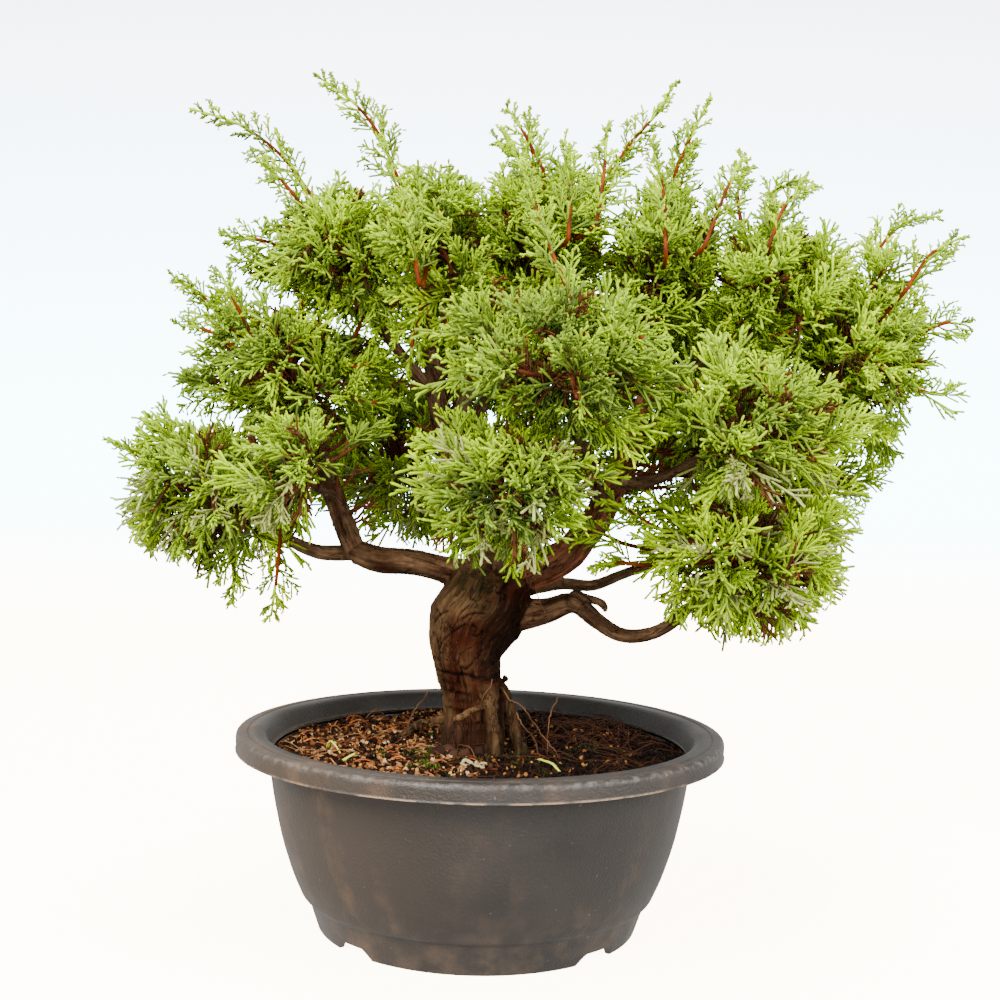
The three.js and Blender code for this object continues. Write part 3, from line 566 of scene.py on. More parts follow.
# The grit lies a little more to the front left.
GRITS = 700
x, y = scattered(GRITS)
x, y = x * 0.9 - 6, y * 0.9 - 8
size = drawn(0.4, 1.4, (GRITS, 1)) * drawn(0.6, 1.1, (GRITS, 3))
grit_finishes = shades("grit", 0.7, (122, 82, 42), (152, 116, 66), (150, 134, 108), (176, 146, 96))
lay("litter_grit", crumbs(x, y, size, 3.0), grit_finishes, x)

NEEDLES = 420
x, y = scattered(NEEDLES)
shape = fibres(x, y, drawn(4, 14, NEEDLES), drawn(0.22, 0.5, NEEDLES), drawn(0.2, 1.6, NEEDLES),
               drawn(-1, 1, NEEDLES))
needle_finishes = shades("dry needle", 0.7, (40, 20, 11), (86, 42, 20), (138, 70, 34), (156, 98, 54))
lay("litter_needles", shape, needle_finishes, x)

# The first root hairs lie on the mound, and the others stray over the whole pot.
ROOT_HAIRS = 260
ON_MOUND = 120
x, y = scattered(ROOT_HAIRS)
x[:ON_MOUND] = litter_random.normal(MOUND_PLACE[0], 13, ON_MOUND)
y[:ON_MOUND] = litter_random.normal(MOUND_PLACE[1] - 8, 15, ON_MOUND)
shape = fibres(x, y, drawn(8, 32, ROOT_HAIRS), drawn(0.16, 0.3, ROOT_HAIRS), drawn(0.5, 4.5, ROOT_HAIRS),
               drawn(-3.4, 3.4, ROOT_HAIRS))
hair_finishes = shades("root hair", 0.8, (52, 30, 18), (86, 54, 32), (116, 84, 54))
lay("litter_root_hairs", shape, hair_finishes, x)

# Fallen shoots and husks, one a row: place across and in depth, length, thickness, arch and curl.
FALLEN_SHOOTS = [(-62, -12, 12, 0.7, 4, 0.8), (-55, -30, 9, 0.7, 1, 0.5), (-66, -48, 10, 0.7, 1.5, -0.7),
                 (33, -44, 15, 0.7, 0.8, 0.3)]
HUSKS = [(-2, -38, 6, 1, 1.2, 2.4), (3, -40, 7.5, 0.75, 0.8, -1.2), (-6, -40, 4.5, 0.8, 0.6, 1.8),
         (2, -36, 6, 0.6, 1.8, -3)]
shoot_measures = np.array(FALLEN_SHOOTS, float).T
fresh_finish = start_finish("fallen shoot", (168, 176, 66), 0.6)
lay("litter_fresh", fibres(*shoot_measures), [fresh_finish], shoot_measures[0])
husk_measures = np.array(HUSKS, float).T
husk_finish = start_finish("pale husk", (142, 130, 98), 0.6)
lay("litter_husks", fibres(*husk_measures, sides=7), [husk_finish], husk_measures[0])

# A few clods lie together in front of the trunk.
CLODS = 16
x, y = litter_random.normal(-10, 6, CLODS), litter_random.normal(-20, 4, CLODS)
size = drawn(2.6, 5.0, (CLODS, 1)) * drawn(0.6, 1.1, (CLODS, 3)) * [1, 1, 0.7]
lay("litter_clods", crumbs(x, y, size, 0.5), shades("clod", 0.95, (34, 20, 14), (52, 32, 22)), x)

# More than half of the moss tufts stand in front of the trunk's foot.
TUFTS = 46
FRONT_TUFTS = 26
MOSS_STALKS = 26
MOSS_RADII = [0.34, 0.4, 0.22]
tuft_x, tuft_y = scattered(TUFTS, 14, 60)
tuft_x[:FRONT_TUFTS] = litter_random.normal(-6, 14, FRONT_TUFTS)
tuft_y[:FRONT_TUFTS] = litter_random.normal(-24, 9, FRONT_TUFTS)
x = np.repeat(tuft_x, MOSS_STALKS) + litter_random.normal(0, 1.7, TUFTS * MOSS_STALKS)
y = np.repeat(tuft_y, MOSS_STALKS) + litter_random.normal(0, 1.7, TUFTS * MOSS_STALKS)
foot = np.stack([x, y, soil_height(x, y) - 0.3], axis=-1)
lean = litter_random.normal(0, 0.6, (len(x), 3)) + [0, 0, 1.1]
paths = foot[:, None] + lean[:, None] * np.array([0, 0.6, 1])[:, None]
moss_shape = tubes(paths, np.tile(MOSS_RADII, (len(x), 1)), 4, np.tile([1.0, 0.2, 0.1], (len(x), 1)))
moss_finishes = shades("moss", 0.8, (26, 36, 8), (38, 52, 10), (56, 74, 14))
lay("litter_moss", moss_shape, moss_finishes, x)

# The wood: a stout trunk with surface roots, forking low into two leaders and the boughs, with
# red-brown bark that peels in plates over grey-tan older bark. Every limb tapers through the
# points that it bends through, given with its radius at each.
LIMBS = {
    "trunk": ([13.5, 12, 13, 14.8, 19, 18.4, 12],
              [(-3.5, -1, 68), (-3.5, -1, 84), (-4, 0, 96), (-6.5, 0, 110), (-3.5, 0, 125), (3.5, 0, 137),
               (9, 1, 147)]),
    "leader_right": ([9.5, 8, 7, 6, 5.6, 4.6, 3.8, 3],
                     [(5.5, 0, 139.5), (18.5, -4, 145.5), (32.5, -8, 153), (42.5, -8, 164.5),
                      (49.5, -6, 176), (55.5, -2, 188.5), (61.5, 4, 205), (65, 10, 221.5)]),
    "leader_left": ([9, 8, 6.6, 5.4, 4.4, 3.4],
                    [(3, 4, 141.5), (-2.5, 12, 157.5), (-9.5, 18, 178), (-17, 16, 199),
                     (-21.5, 10, 217.5), (-24.5, 4, 236)]),
    "bough_left": ([6.8, 5.8, 5.4, 5.4, 5],
                   [(-1, 2, 142.5), (-14, 0, 145), (-28.5, -3, 148.5), (-42.5, -6, 149.5),
                    (-52.5, -8, 152.5)]),
    "bough_left_rise": ([4.8, 4.6, 4, 3.2, 2.6],
                        [(-53, -8, 152.5), (-58, -8, 166), (-63.5, -6, 179.5), (-67.5, -4, 191.5),
                         (-72, -3, 203)]),
    "bough_right_low": ([8.5, 5.4, 4, 3.4, 3.1, 2.9, 2.7, 2.3],
                        [(7, 0, 127.5), (25, -6, 130), (37, -10, 134), (46.5, -12, 127), (56, -14, 122),
                         (67.5, -16, 123), (76, -18, 128), (82.5, -20, 135)]),
    "bough_left_reach": ([3.4, 2.8, 2.2, 1.8],
                         [(-53, -8, 152), (-68, -10, 152.5), (-81, -12, 158), (-90, -13, 163.5)]),
    "bough_left_inner": ([2.4, 2, 1.7], [(-62, -7, 175.5), (-64, -20, 177.5), (-66, -29, 179)]),
    "bough_right_mid": ([3.2, 2.6, 2.3, 2.1, 1.9, 1.7],
                        [(13, 6, 137), (32, 14, 139.5), (46, 20, 138.5), (58, 26, 142.5), (78, 34, 150),
                         (104, 42, 164)]),
    "bough_front": ([4, 3.2, 2.6, 2.2], [(6.5, -4, 143), (7, -22, 153), (9, -34, 160), (10.5, -43, 166)]),
    "bough_front_upper": ([3.2, 2.8, 2.3, 1.9],
                          [(47.5, -6, 174), (41.5, -22, 188.5), (35, -38, 202), (31, -48, 211)]),
    "bough_right": ([2.8, 2.4, 2.1, 1.8],
                    [(54, -4, 183.5), (64, -14, 184), (74.5, -24, 188.5), (83, -33, 194)]),
    "bough_right_far": ([3.2, 2.8, 2.4, 1.9],
                        [(60.5, 3, 203), (84, 8, 211.5), (109, 10, 219), (129.5, 10, 227)]),
    "bough_right_top": ([2.8, 2.4, 2.1, 1.7], [(63, 7, 214), (79.5, 8, 227), (93, 6, 238), (101, 4, 244)]),
    "bough_top_right": ([2.8, 2.4, 2], [(65, 10, 222.5), (67, 10, 234.5), (68.5, 8, 246)]),
    "bough_top_centre": ([3, 2.6, 2.2, 1.9],
                         [(-17.5, 15, 201), (-6, 18, 222.5), (6, 16, 243.5), (13, 14, 256)]),
    "bough_top_left": ([3.2, 2.6, 2.1], [(-24.5, 4, 237), (-25, 0, 248), (-25, -4, 257)]),
    "bough_left_upper": ([2.8, 2.4, 2.1, 1.8],
                         [(-21, 10, 215.5), (-33, 4, 229.5), (-44.5, 0, 243.5), (-50, -2, 250)]),
    "bough_back_left": ([2.8, 2.4, 2], [(-8.5, 18, 173.5), (-18.5, 36, 176.5), (-26, 50, 180)]),
    "bough_back_centre": ([3, 2.6, 2], [(-15, 17, 192.5), (-4, 42, 212.5), (2, 60, 228)]),
    "bough_back_right": ([3, 2.6, 2], [(50, -4, 177), (62.5, 30, 192), (74, 56, 205)]),
}
THICK_LIMBS = ("trunk", "leader_right", "leader_left", "bough_left", "bough_left_rise", "bough_right_low")
# Surface roots, as radii and points like the limbs, from the trunk down into the soil.
ROOTS = [
    ([5, 4.4, 3.8, 4.4], [(-1, -5, 106), (3, -13, 98), (4.6, -18.5, 87), (6.5, -22.5, 70)]),
    ([3, 2.6, 2.2, 2.6], [(4, -4, 103), (10, -9, 96.5), (13.5, -13, 86.5), (17.6, -16, 70)]),
    ([4.5, 2.6, 1.9, 1.5], [(-8, 2, 87), (-15.5, 5, 82.5), (-24, 9, 79.5), (-36, 14, 71)]),
    ([6, 4.6, 3.8, 4], [(1, 4, 96), (7, 9, 87), (11, 14, 80), (14, 19, 70)]),
    ([5, 4.4, 4, 4], [(-7, 6, 94), (-11, 12, 85), (-14, 16, 78), (-16, 19, 70)]),
]
# A knob with a hooked dead peg, two cut stubs, two snags, a burl at the foot, and the swellings
# of the shoulder and the fork, all grown together with the wood.
KNOTS = [
    ([3.6, 4.3, 3.4], [(37, -11, 133.5), (37.3, -13.5, 136), (37.3, -15.5, 137.5)]),
    ([2.6, 2.0, 1.8, 1.7, 1.3], [(39, -13.5, 136.8), (42.8, -15, 136.2), (45.8, -16, 135.6),
                                 (48.2, -16.5, 134.2), (49.3, -16, 131.8)]),
    ([2.4, 2.2], [(0.3, -13, 134.3), (0.4, -19.4, 134.3)]),
    ([2.8, 2.6], [(53.5, -5, 183), (55.5, -11.5, 184.6)]),
    ([2.4, 1.6, 1.1, 0.7], [(2, -9, 99), (6.3, -14.5, 101), (8.7, -18, 103), (10.4, -20, 105.4)]),
    ([2.2, 1.7, 1.4, 1.0], [(3, -17, 94), (-2.2, -21.5, 91.6), (-6.5, -22.5, 89.5), (-10.7, -23, 87.5)]),
    ([4, 3.4, 3], [(-8, -7, 86), (-9.5, -11, 80), (-11, -13, 70)]),
    ([9, 8], [(-12, 1, 128), (-8, 0, 134)]),
    ([6, 5], [(8, -9, 139), (17, -10, 143)]),
]
WOOD_CUT = 72.0
FIRST_ACROSS = np.array([0.31, 0.95, 0.12])
AXIS_STEPS = 8
LIMB_GAP = 400.0
POINTS_AT_ONCE = 20000
THICK_SIDES = 28
KNOT_SIDES = 18
THIN_STEPS = 10
THIN_SIDES = 14
BARK_VOXEL = 0.6
BARK_EASING = 5
# The bark of the thin boughs stands out by this much more.
THIN_BARK = 0.1
# The bark's tones, the dark of its cracks and of its painted shade, and places on the wood that have their
# own.
RED_BARK = (50, 19, 7)
TAN_BARK = (86, 65, 42)
GREY_BARK = (122, 94, 68)
PINK_BARK = (134, 80, 54)
SHADE_AND_CRACK_DARK = (8, 5, 3)
SHADE_BROWN = (26, 17, 8)
SOIL_BROWN = (48, 28, 20)
BARK_MOSS = (24, 26, 8)
CUT_WOOD = (150, 128, 92)
CUT_FACE = (55.6, -12.2, 184.8)
FORK = (-2.0, -12.0, 141.0)
NECK_HEIGHT = 93.0
CREASE_HEIGHT = 103.5
FOOT_HEIGHT = 74.0
# Long cracks across the front of the swelling, as places across and up.
CRACKS = [[(-19.6, 124.6), (-17.3, 127.7), (-14.3, 130)],
          [(-17.5, 113.6), (-15.6, 118), (-11.6, 122), (-7, 125.3)],
          [(-9.6, 126.6), (-4.5, 129.6), (0.5, 130)],
          [(-17.8, 117.5), (-17.2, 111), (-16.8, 106)]]


def smooth_path(points, steps):
    """A curve through the points, in steps equal parts a span. Each span is a cubic between its two
    points, whose slope at a point is that of the parabola through it and its two neighbours, with
    the points spaced by the root of the distance between them."""
    ends = [2 * points[0] - points[1], 2 * points[-1] - points[-2]]
    p = np.vstack([ends[0], points, ends[1]])
    move = np.diff(p, axis=0)
    gap = np.sqrt(np.linalg.norm(move, axis=1, keepdims=True))
    before, after = gap[:-1], gap[1:]
    slope = move[:-1] / before - (p[2:] - p[:-2]) / (before + after) + move[1:] / after
    share = np.tile(np.linspace(0, 1, steps, endpoint=False)[:, None], (len(points) - 1, 1))
    t = np.vstack([share, [[1.0]]])
    span = np.append(np.repeat(np.arange(len(points) - 1), steps), len(points) - 2)
    width = gap[span + 1]
    start, stop = points[span], points[span + 1]
    leave, arrive = slope[span] * width, slope[span + 1] * width
    return (start * (2 * t**3 - 3 * t**2 + 1) + leave * (t**3 - 2 * t**2 + t)
            + stop * (3 * t**2 - 2 * t**3) + arrive * (t**3 - t**2))


def limb_route(limb, steps):
    """A limb's smooth path and its radius along it."""
    radii, points = np.array(limb[0], float), np.array(limb[1], float)
    path = smooth_path(points, steps)
    at = np.linspace(0, len(points) - 1, len(path))
    return path, np.interp(at, np.arange(len(radii)), radii)


def limb_tube(limb, steps, sides):
    """A limb's round skin, one ring for each step of its path."""
    path, radii = limb_route(limb, steps)
    return tubes(path[None], radii[None], sides, FIRST_ACROSS[None])


def joined(shapes):
    """Several shapes as one."""
    starts = np.cumsum([0] + [len(points) for points, _, _ in shapes[:-1]])
    points = np.concatenate([shape[0] for shape in shapes])
    quads = np.concatenate([shape[1] + start for shape, start in zip(shapes, starts)])
    triangles = np.concatenate([shape[2] + start for shape, start in zip(shapes, starts)])
    return points, quads, triangles


def limb_axis(number, limb):
    """A limb's axis as rows of samples: place, way on, length grown so far, radius, and number. The
    lengths of two limbs are far apart, so that each has bark of its own."""
    path, radii = limb_route(limb, AXIS_STEPS)
    way = np.gradient(path, axis=0)
    way /= np.linalg.norm(way, axis=1, keepdims=True)
    grown = np.append(0, np.cumsum(np.linalg.norm(np.diff(path, axis=0), axis=1)))
    return np.column_stack([path, way, grown + LIMB_GAP * number, radii, np.full(len(path), number)])


AXES = np.concatenate([limb_axis(number, limb) for number, limb in enumerate(LIMBS.values())])


def nearest_axis(points):
    """For each point, the sample of a limb's axis whose skin it lies nearest to."""
    nearest = []
    for part in np.array_split(points, len(points) // POINTS_AT_ONCE + 1):
        away = np.linalg.norm(part[:, None] - AXES[None, :, :3], axis=2) - AXES[:, 7]
        nearest.append(away.argmin(axis=1))
    return np.concatenate(nearest)


def crack_distance(points):
    """How far points lie from the nearest of the long cracks, seen from the front."""
    cracks = np.concatenate([smooth_path(np.array(crack, float), 12) for crack in CRACKS])
    nearest = np.full(len(points), np.inf)
    for x, z in cracks:
        nearest = np.minimum(nearest, np.hypot(points[:, 0] - x, points[:, 2] - z))
    return nearest


def on_limbs(points):
    """How points on the wood lie on their limbs: the nearest sample of an axis, the way out from
    it, and three measures, two across the limb and one along it."""
    sample = AXES[nearest_axis(points)]
    way = sample[:, 3:6]
    out = points - sample[:, :3]
    level = FIRST_ACROSS - np.sum(FIRST_ACROSS * way, axis=1, keepdims=True) * way
    level /= np.linalg.norm(level, axis=1, keepdims=True)
    upright = np.cross(way, level)
    lengthwise = sample[:, 6] + np.sum(out * way, axis=1)
    local = np.stack([np.sum(out * level, axis=1), np.sum(out * upright, axis=1), lengthwise], axis=-1)
    return sample, out, local


def tinted(colour, tone, share):
    """Colours moved towards a tone by a share of the way at each point."""
    return colour + (paint(*tone) - colour) * share[:, None]


def bark_relief(points):
    """The bark's height in millimetres and its colour at points on the wood, and their measures on
    their limbs. Noise in these measures is drawn out lengthwise into plates and strips, with thin
    cracks where a second noise crosses zero, and rings of wrinkles at the trunk's neck."""
    sample, out, local = on_limbs(points)
    x, y, z = points.T
    radius = sample[:, 7]
    sideways = out[:, 0] / np.maximum(radius, 1)
    thick = ramp(radius, 2.5, 12.5)
    on_trunk = ramp(z, 140, 134) * (radius > 10)
    plates = lattice_noise(local / [3.4, 3.4, 15], 11)
    strips = lattice_noise(local / [1.5, 1.5, 9], 12)
    grit = lattice_noise(points / 0.9, 13)
    lumps = lattice_noise(points / 10, 14)
    seam = np.abs(lattice_noise(local / [7.5, 7.5, 12] + 0.3 * strips[:, None], 15))
    crack = ramp(seam, 0.05, 0) * thick
    neck = np.exp(-(((z - NECK_HEIGHT) / 8) ** 2)) * on_trunk
    wrinkles = neck * lattice_noise(points / [14, 14, 1.7] + 0.4 * lumps[:, None], 16)
    from_crease = z - CREASE_HEIGHT + 1.6 * lumps + 0.6 * strips
    crease = np.exp(-(from_crease**2)) * on_trunk * (y < -2)
    split = ramp(crack_distance(points), 0.55, 0.05) * on_trunk * (y < -4)
    relief = (0.3 + 0.9 * thick) * (0.5 * plates + 0.3 * strips) + 0.12 * grit
    relief += 1.2 * lumps * thick + 1.1 * wrinkles - 1.2 * crack - 1.3 * crease - 1.4 * split

    # Grey-tan old bark stays on the trunk's left, its shoulder, the roots, and the tops of boughs;
    # on the trunk's left its lighter tan is partly painted light.
    facing_left = np.clip(-sideways, 0, 1)
    # Partly painted light: the trunk's left-facing side is made lighter and tan.
    left = 2.2 * (facing_left - 0.45) * (facing_left > 0.45) * on_trunk
    shoulder = ramp(z, 126, 134) * ramp(x, 6, -6) * on_trunk
    root_side = ramp(np.linalg.norm(out, axis=1) - radius, 0.6, 2.6) * ramp(z, 102, 96)
    upper = np.clip(out[:, 2] / np.maximum(radius, 1), 0, 1) * (1 - on_trunk)
    old = left + 0.8 * shoulder + 0.9 * root_side + 0.9 * upper + 0.45 * plates + 0.3 * lumps + 0.05
    colour = np.tile(paint(*RED_BARK), (len(points), 1))
    colour = tinted(colour, GREY_BARK, np.clip(0.75 - thick + 0.5 * strips, 0, 0.8))
    colour = tinted(colour, TAN_BARK, np.clip(old, 0, 1) * (0.35 + 0.6 * thick))
    on_leader = sample[:, 8] == list(LIMBS).index("leader_right")
    colour = tinted(colour, PINK_BARK, on_leader * np.clip(0.75 + 0.4 * plates, 0, 1))
    # Darker with painted shade over the trunk's right, at its buried foot, and with painted shade in every
    # hollow.
    # Painted shade over the trunk's right side, below the leaders.
    painted_shade_right = ramp(x, -4, 5) * ramp(z, 103, 107) * ramp(z, 138, 130) * on_trunk
    colour = tinted(colour, SHADE_BROWN, 0.8 * painted_shade_right)
    buried = ramp(z, 87, 81) * ramp(x, 3, -1) * (y < 2)
    colour = tinted(colour, SOIL_BROWN, 0.85 * buried)
    # Painted shade in the hollows, the crease and over the trunk's right face, with the dark of the cracks
    # laid on together.
    facing_right = np.clip(sideways - 0.05, 0, 1) * on_trunk
    shade_and_cracks = np.clip(0.15 - 0.5 * strips - 0.8 * plates - 0.3 * wrinkles, 0, 1) * 0.55
    shade_and_cracks = shade_and_cracks + crack + split + 0.8 * crease + 0.6 * facing_right
    colour = tinted(colour, SHADE_AND_CRACK_DARK, np.clip(shade_and_cracks, 0, 0.92))
    # The pale face of the cut stub, and moss in the fork and round the foot.
    cut_face = np.exp(-np.sum((points - CUT_FACE) ** 2, axis=1) / 5)
    colour = tinted(colour, CUT_WOOD, cut_face)
    in_fork = np.exp(-np.sum((points - FORK) ** 2 / [300, 120, 60], axis=1))
    at_foot = np.exp(-(((z - FOOT_HEIGHT) / 5) ** 2))
    mossy = 1.6 * in_fork + 0.8 * at_foot + 0.7 * lumps + 0.5 * strips - 0.6
    colour = tinted(colour, BARK_MOSS, np.clip(mossy, 0, 0.85))
    return relief, colour, local


def measured(items, attribute, width=3, kind=np.float32):
    """An attribute of all of a mesh's points or edges, as the rows of an array."""
    values = np.zeros(len(items) * width, kind)
    items.foreach_get(attribute, values)
    return values.reshape(-1, width)


def bark_on(piece, extra=0.0):
    """Pushes a wooden piece's points out along their normals by the bark's relief, and keeps its
    colour in the attribute bark_tone and the place across and along its limb in bark_place."""
    mesh = piece.data
    points = measured(mesh.vertices, "co") / MM - AXIS
    relief, colour, local = bark_relief(points)
    points = points + measured(mesh.vertex_normals, "vector") * (relief + extra)[:, None]
    points[:, 2] = np.maximum(points[:, 2], WOOD_CUT)
    put_points(mesh, points)
    colour = np.column_stack([colour, np.ones(len(points))])
    tone = mesh.attributes.new("bark_tone", "FLOAT_COLOR", "POINT")
    tone.data.foreach_set("color", colour.astype(np.float32).ravel())
    spot = mesh.attributes.new("bark_place", "FLOAT_VECTOR", "POINT")
    spot.data.foreach_set("vector", (local * MM).astype(np.float32).ravel())
    mesh.update()


bark = start_finish("bark", RED_BARK, 0.78, 0.03)
on_bark = places(bark)
along_limb = put(bark, "Attribute", {}, attribute_name="bark_place").outputs["Vector"]
drawn_out = put(bark, "Mapping", {"Vector": along_limb, "Scale": (1, 1, 0.16)}).outputs[0]
bark_colour = put(bark, "Attribute", {}, attribute_name="bark_tone").outputs["Color"]
mottle = between(bark, noise(bark, on_bark, 420, 5), 0.35, 0.7)
bark_colour = blended(bark, times(bark, mottle, 0.4), (26, 12, 6), bark_colour)
bark_fibres = noise(bark, drawn_out, 900, 4)
between_fibres = between(bark, bark_fibres, 0.52, 0.4)
bark_colour = blended(bark, times(bark, between_fibres, 0.45), (26, 12, 7), bark_colour)
flecks = between(bark, noise(bark, drawn_out, 1500, 2), 0.62, 0.7)
bark_colour = blended(bark, times(bark, flecks, 0.22), (100, 74, 50), bark_colour)
from_seam = worked_out(bark, "SUBTRACT", noise(bark, drawn_out, 260, 3), 0.5)
splits = between(bark, worked_out(bark, "ABSOLUTE", from_seam), 0.016, 0.003)
bark_colour = blended(bark, times(bark, splits, 0.75), (12, 5, 3), bark_colour)
bark_height = worked_out(bark, "SUBTRACT", bark_fibres, times(bark, splits, 0.5))
dress(bark, bark_colour, bark_height, 0.0007, 0.8)


def fused(piece, voxel, rounds):
    """Melts a piece's overlapping skins into one by an even voxel grid, for good, and then eases
    each point towards the mean of its neighbours, round after round, so that forks get fillets."""
    remesh = piece.modifiers.new("fuse", "REMESH")
    remesh.mode = "VOXEL"
    remesh.voxel_size = voxel * MM
    remesh.use_smooth_shade = True
    mesh = settled(piece)
    points = measured(mesh.vertices, "co").astype(float)
    one, other = measured(mesh.edges, "vertices", 2, np.int32).T
    both, facing = np.concatenate([one, other]), np.concatenate([other, one])
    neighbours = np.bincount(both, minlength=len(points))
    for _ in range(rounds):
        sums = [np.bincount(both, points[facing, axis], len(points)) for axis in range(3)]
        points += 0.5 * (np.stack(sums, axis=-1) / neighbours[:, None] - points)
    mesh.vertices.foreach_set("co", points.astype(np.float32).ravel())
    mesh.update()


thick_shapes = [limb_tube(LIMBS[name], AXIS_STEPS, THICK_SIDES) for name in THICK_LIMBS]
thick_shapes += [limb_tube(limb, AXIS_STEPS, KNOT_SIDES) for limb in ROOTS + KNOTS]
wood = make_piece("trunk_and_leaders", joined(thick_shapes), [bark])
fused(wood, BARK_VOXEL, BARK_EASING)
bark_on(wood)
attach(wood, "root")
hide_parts(*THICK_LIMBS)
for name, limb in LIMBS.items():
    if name in THICK_LIMBS:
        continue
    bough = make_piece(name + "_wood", limb_tube(limb, THIN_STEPS, THIN_SIDES), [bark])
    bark_on(bough, THIN_BARK)
    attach(bough, "root")
    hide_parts(name)

# Dead twigs and fine roots: short bare twigs that the crown's shade left on the wood, and hair
# roots as thin as thread. They grow out of the bark, and the roots stray down to the soil.
# The limb, how many twigs it has, and the stretch that they stand on, as shares of its length.
DEAD_TWIGS = [("leader_left", 40, 0.25, 0.95), ("leader_right", 16, 0.45, 0.95),
              ("bough_left_rise", 12, 0.2, 0.95), ("bough_right", 6, 0.1, 0.9)]
# The first hangs below the right leader, and the others stray from the foot.
HAIR_ROOTS = [
    [(19.9, -10, 142), (20.6, -13.5, 140.5), (24.9, -16, 130.1)],
    [(8.4, -12, 99), (11.6, -17, 95), (15.6, -19.5, 94), (20.6, -23, 88), (26, -27, 81.5), (32, -31, 75)],
    [(-21.2, -7, 97), (-24, -9, 93), (-27.4, -12, 88), (-31, -15, 79)],
    [(4.5, -15, 103), (3.4, -17, 100), (0.6, -19, 96), (-0.4, -20.5, 92)],
    [(31, -14, 96), (28.6, -15, 91), (27.4, -17, 85), (27, -20, 75)],
    [(14, -13, 90), (17, -17, 85), (21.5, -19, 80), (24, -22, 73)],
]
twig_random = np.random.default_rng(17)


def unit(vectors):
    """Vectors of length one."""
    return vectors / np.maximum(np.linalg.norm(vectors, axis=-1, keepdims=True), 1e-9)


def bent(start, control, stop, count):
    """Paths of count points that leave start towards control and arrive at stop from it."""
    t = np.linspace(0, 1, count)[:, None]
    return (1 - t) ** 2 * start[:, None] + 2 * t * (1 - t) * control[:, None] + t**2 * stop[:, None]


def twig_bark(name, light, dark):
    """A finish of scaly bark in two colours, in patches about a centimetre long."""
    finish = start_finish(name, light, 0.7)
    on_twig = places(finish)
    patches = between(finish, noise(finish, on_twig, 90, 3), 0.4, 0.6)
    scales = noise(finish, on_twig, 1300, 3)
    dress(finish, blended(finish, patches, light, dark), scales, 0.0003, 0.6)
    return finish


def thin_tubes(paths, first, last, sides):
    """Tubes along paths, tapering evenly from a first radius to a last one."""
    taper = np.tile(np.linspace(first, last, paths.shape[1]), (len(paths), 1))
    return tubes(paths, taper, sides, np.tile(FIRST_ACROSS, (len(paths), 1)))


def dead_twigs(limb, count, low, high):
    """Bare twigs along a stretch of a limb, given as shares of its length. Each leaves the limb
    square to it, bends to lean along it, and has two thinner ones that stray from its outer part."""
    path = limb_route(limb, 12)[0]
    at = twig_random.uniform(low, high, count) * (len(path) - 2)
    root = path[at.astype(int)]
    way = unit(path[at.astype(int) + 1] - root)
    out = unit(np.cross(way, unit(twig_random.normal(size=(count, 3)) + [0, -0.5, 0])))
    length = twig_random.uniform(9, 20, (count, 1))
    bend = root + out * length * 0.6 + twig_random.normal(0, 1.2, (count, 3))
    tip = root + out * length + way * length * 0.35 + twig_random.normal(0, 2.0, (count, 3))
    shapes = [thin_tubes(bent(root, bend, tip, 6), 0.75, 0.4, 5)]
    for _ in range(2):
        fork = bend + (tip - bend) * twig_random.uniform(0, 0.8, (count, 1))
        stray = fork + unit(out + twig_random.normal(0, 0.8, (count, 3))) * length * 0.5
        middle = (fork + stray) / 2 + twig_random.normal(0, 0.8, (count, 3))
        shapes.append(thin_tubes(bent(fork, middle, stray, 5), 0.42, 0.22, 4))
    return joined(shapes)


old_twig = twig_bark("old twig bark", (98, 49, 29), (64, 33, 22))
hair_bark = twig_bark("hair root bark", (90, 64, 42), (56, 35, 22))
twig_shapes = [dead_twigs(LIMBS[name], count, low, high) for name, count, low, high in DEAD_TWIGS]
hairs = [smooth_path(np.array(points, float), 6) for points in HAIR_ROOTS]
hairs = [path + twig_random.normal(0, 0.18, path.shape) for path in hairs]
hair_shapes = [thin_tubes(path[None], 0.32, 0.18, 5) for path in hairs]
for name, shapes, finish in (("dead_twigs", twig_shapes, old_twig), ("hair_roots", hair_shapes, hair_bark)):
    strays = make_piece(name, joined(shapes), [finish])
    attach(strays, "root")

# The foliage: seventeen dense masses of scale-leaved cords. A bough runs on into its mass as a
# stem, the stem branches into twigs, these into side twigs, and each side twig ends in a tuft of
# sprays. Every mass keeps to its own oval, between the ovals of the others.

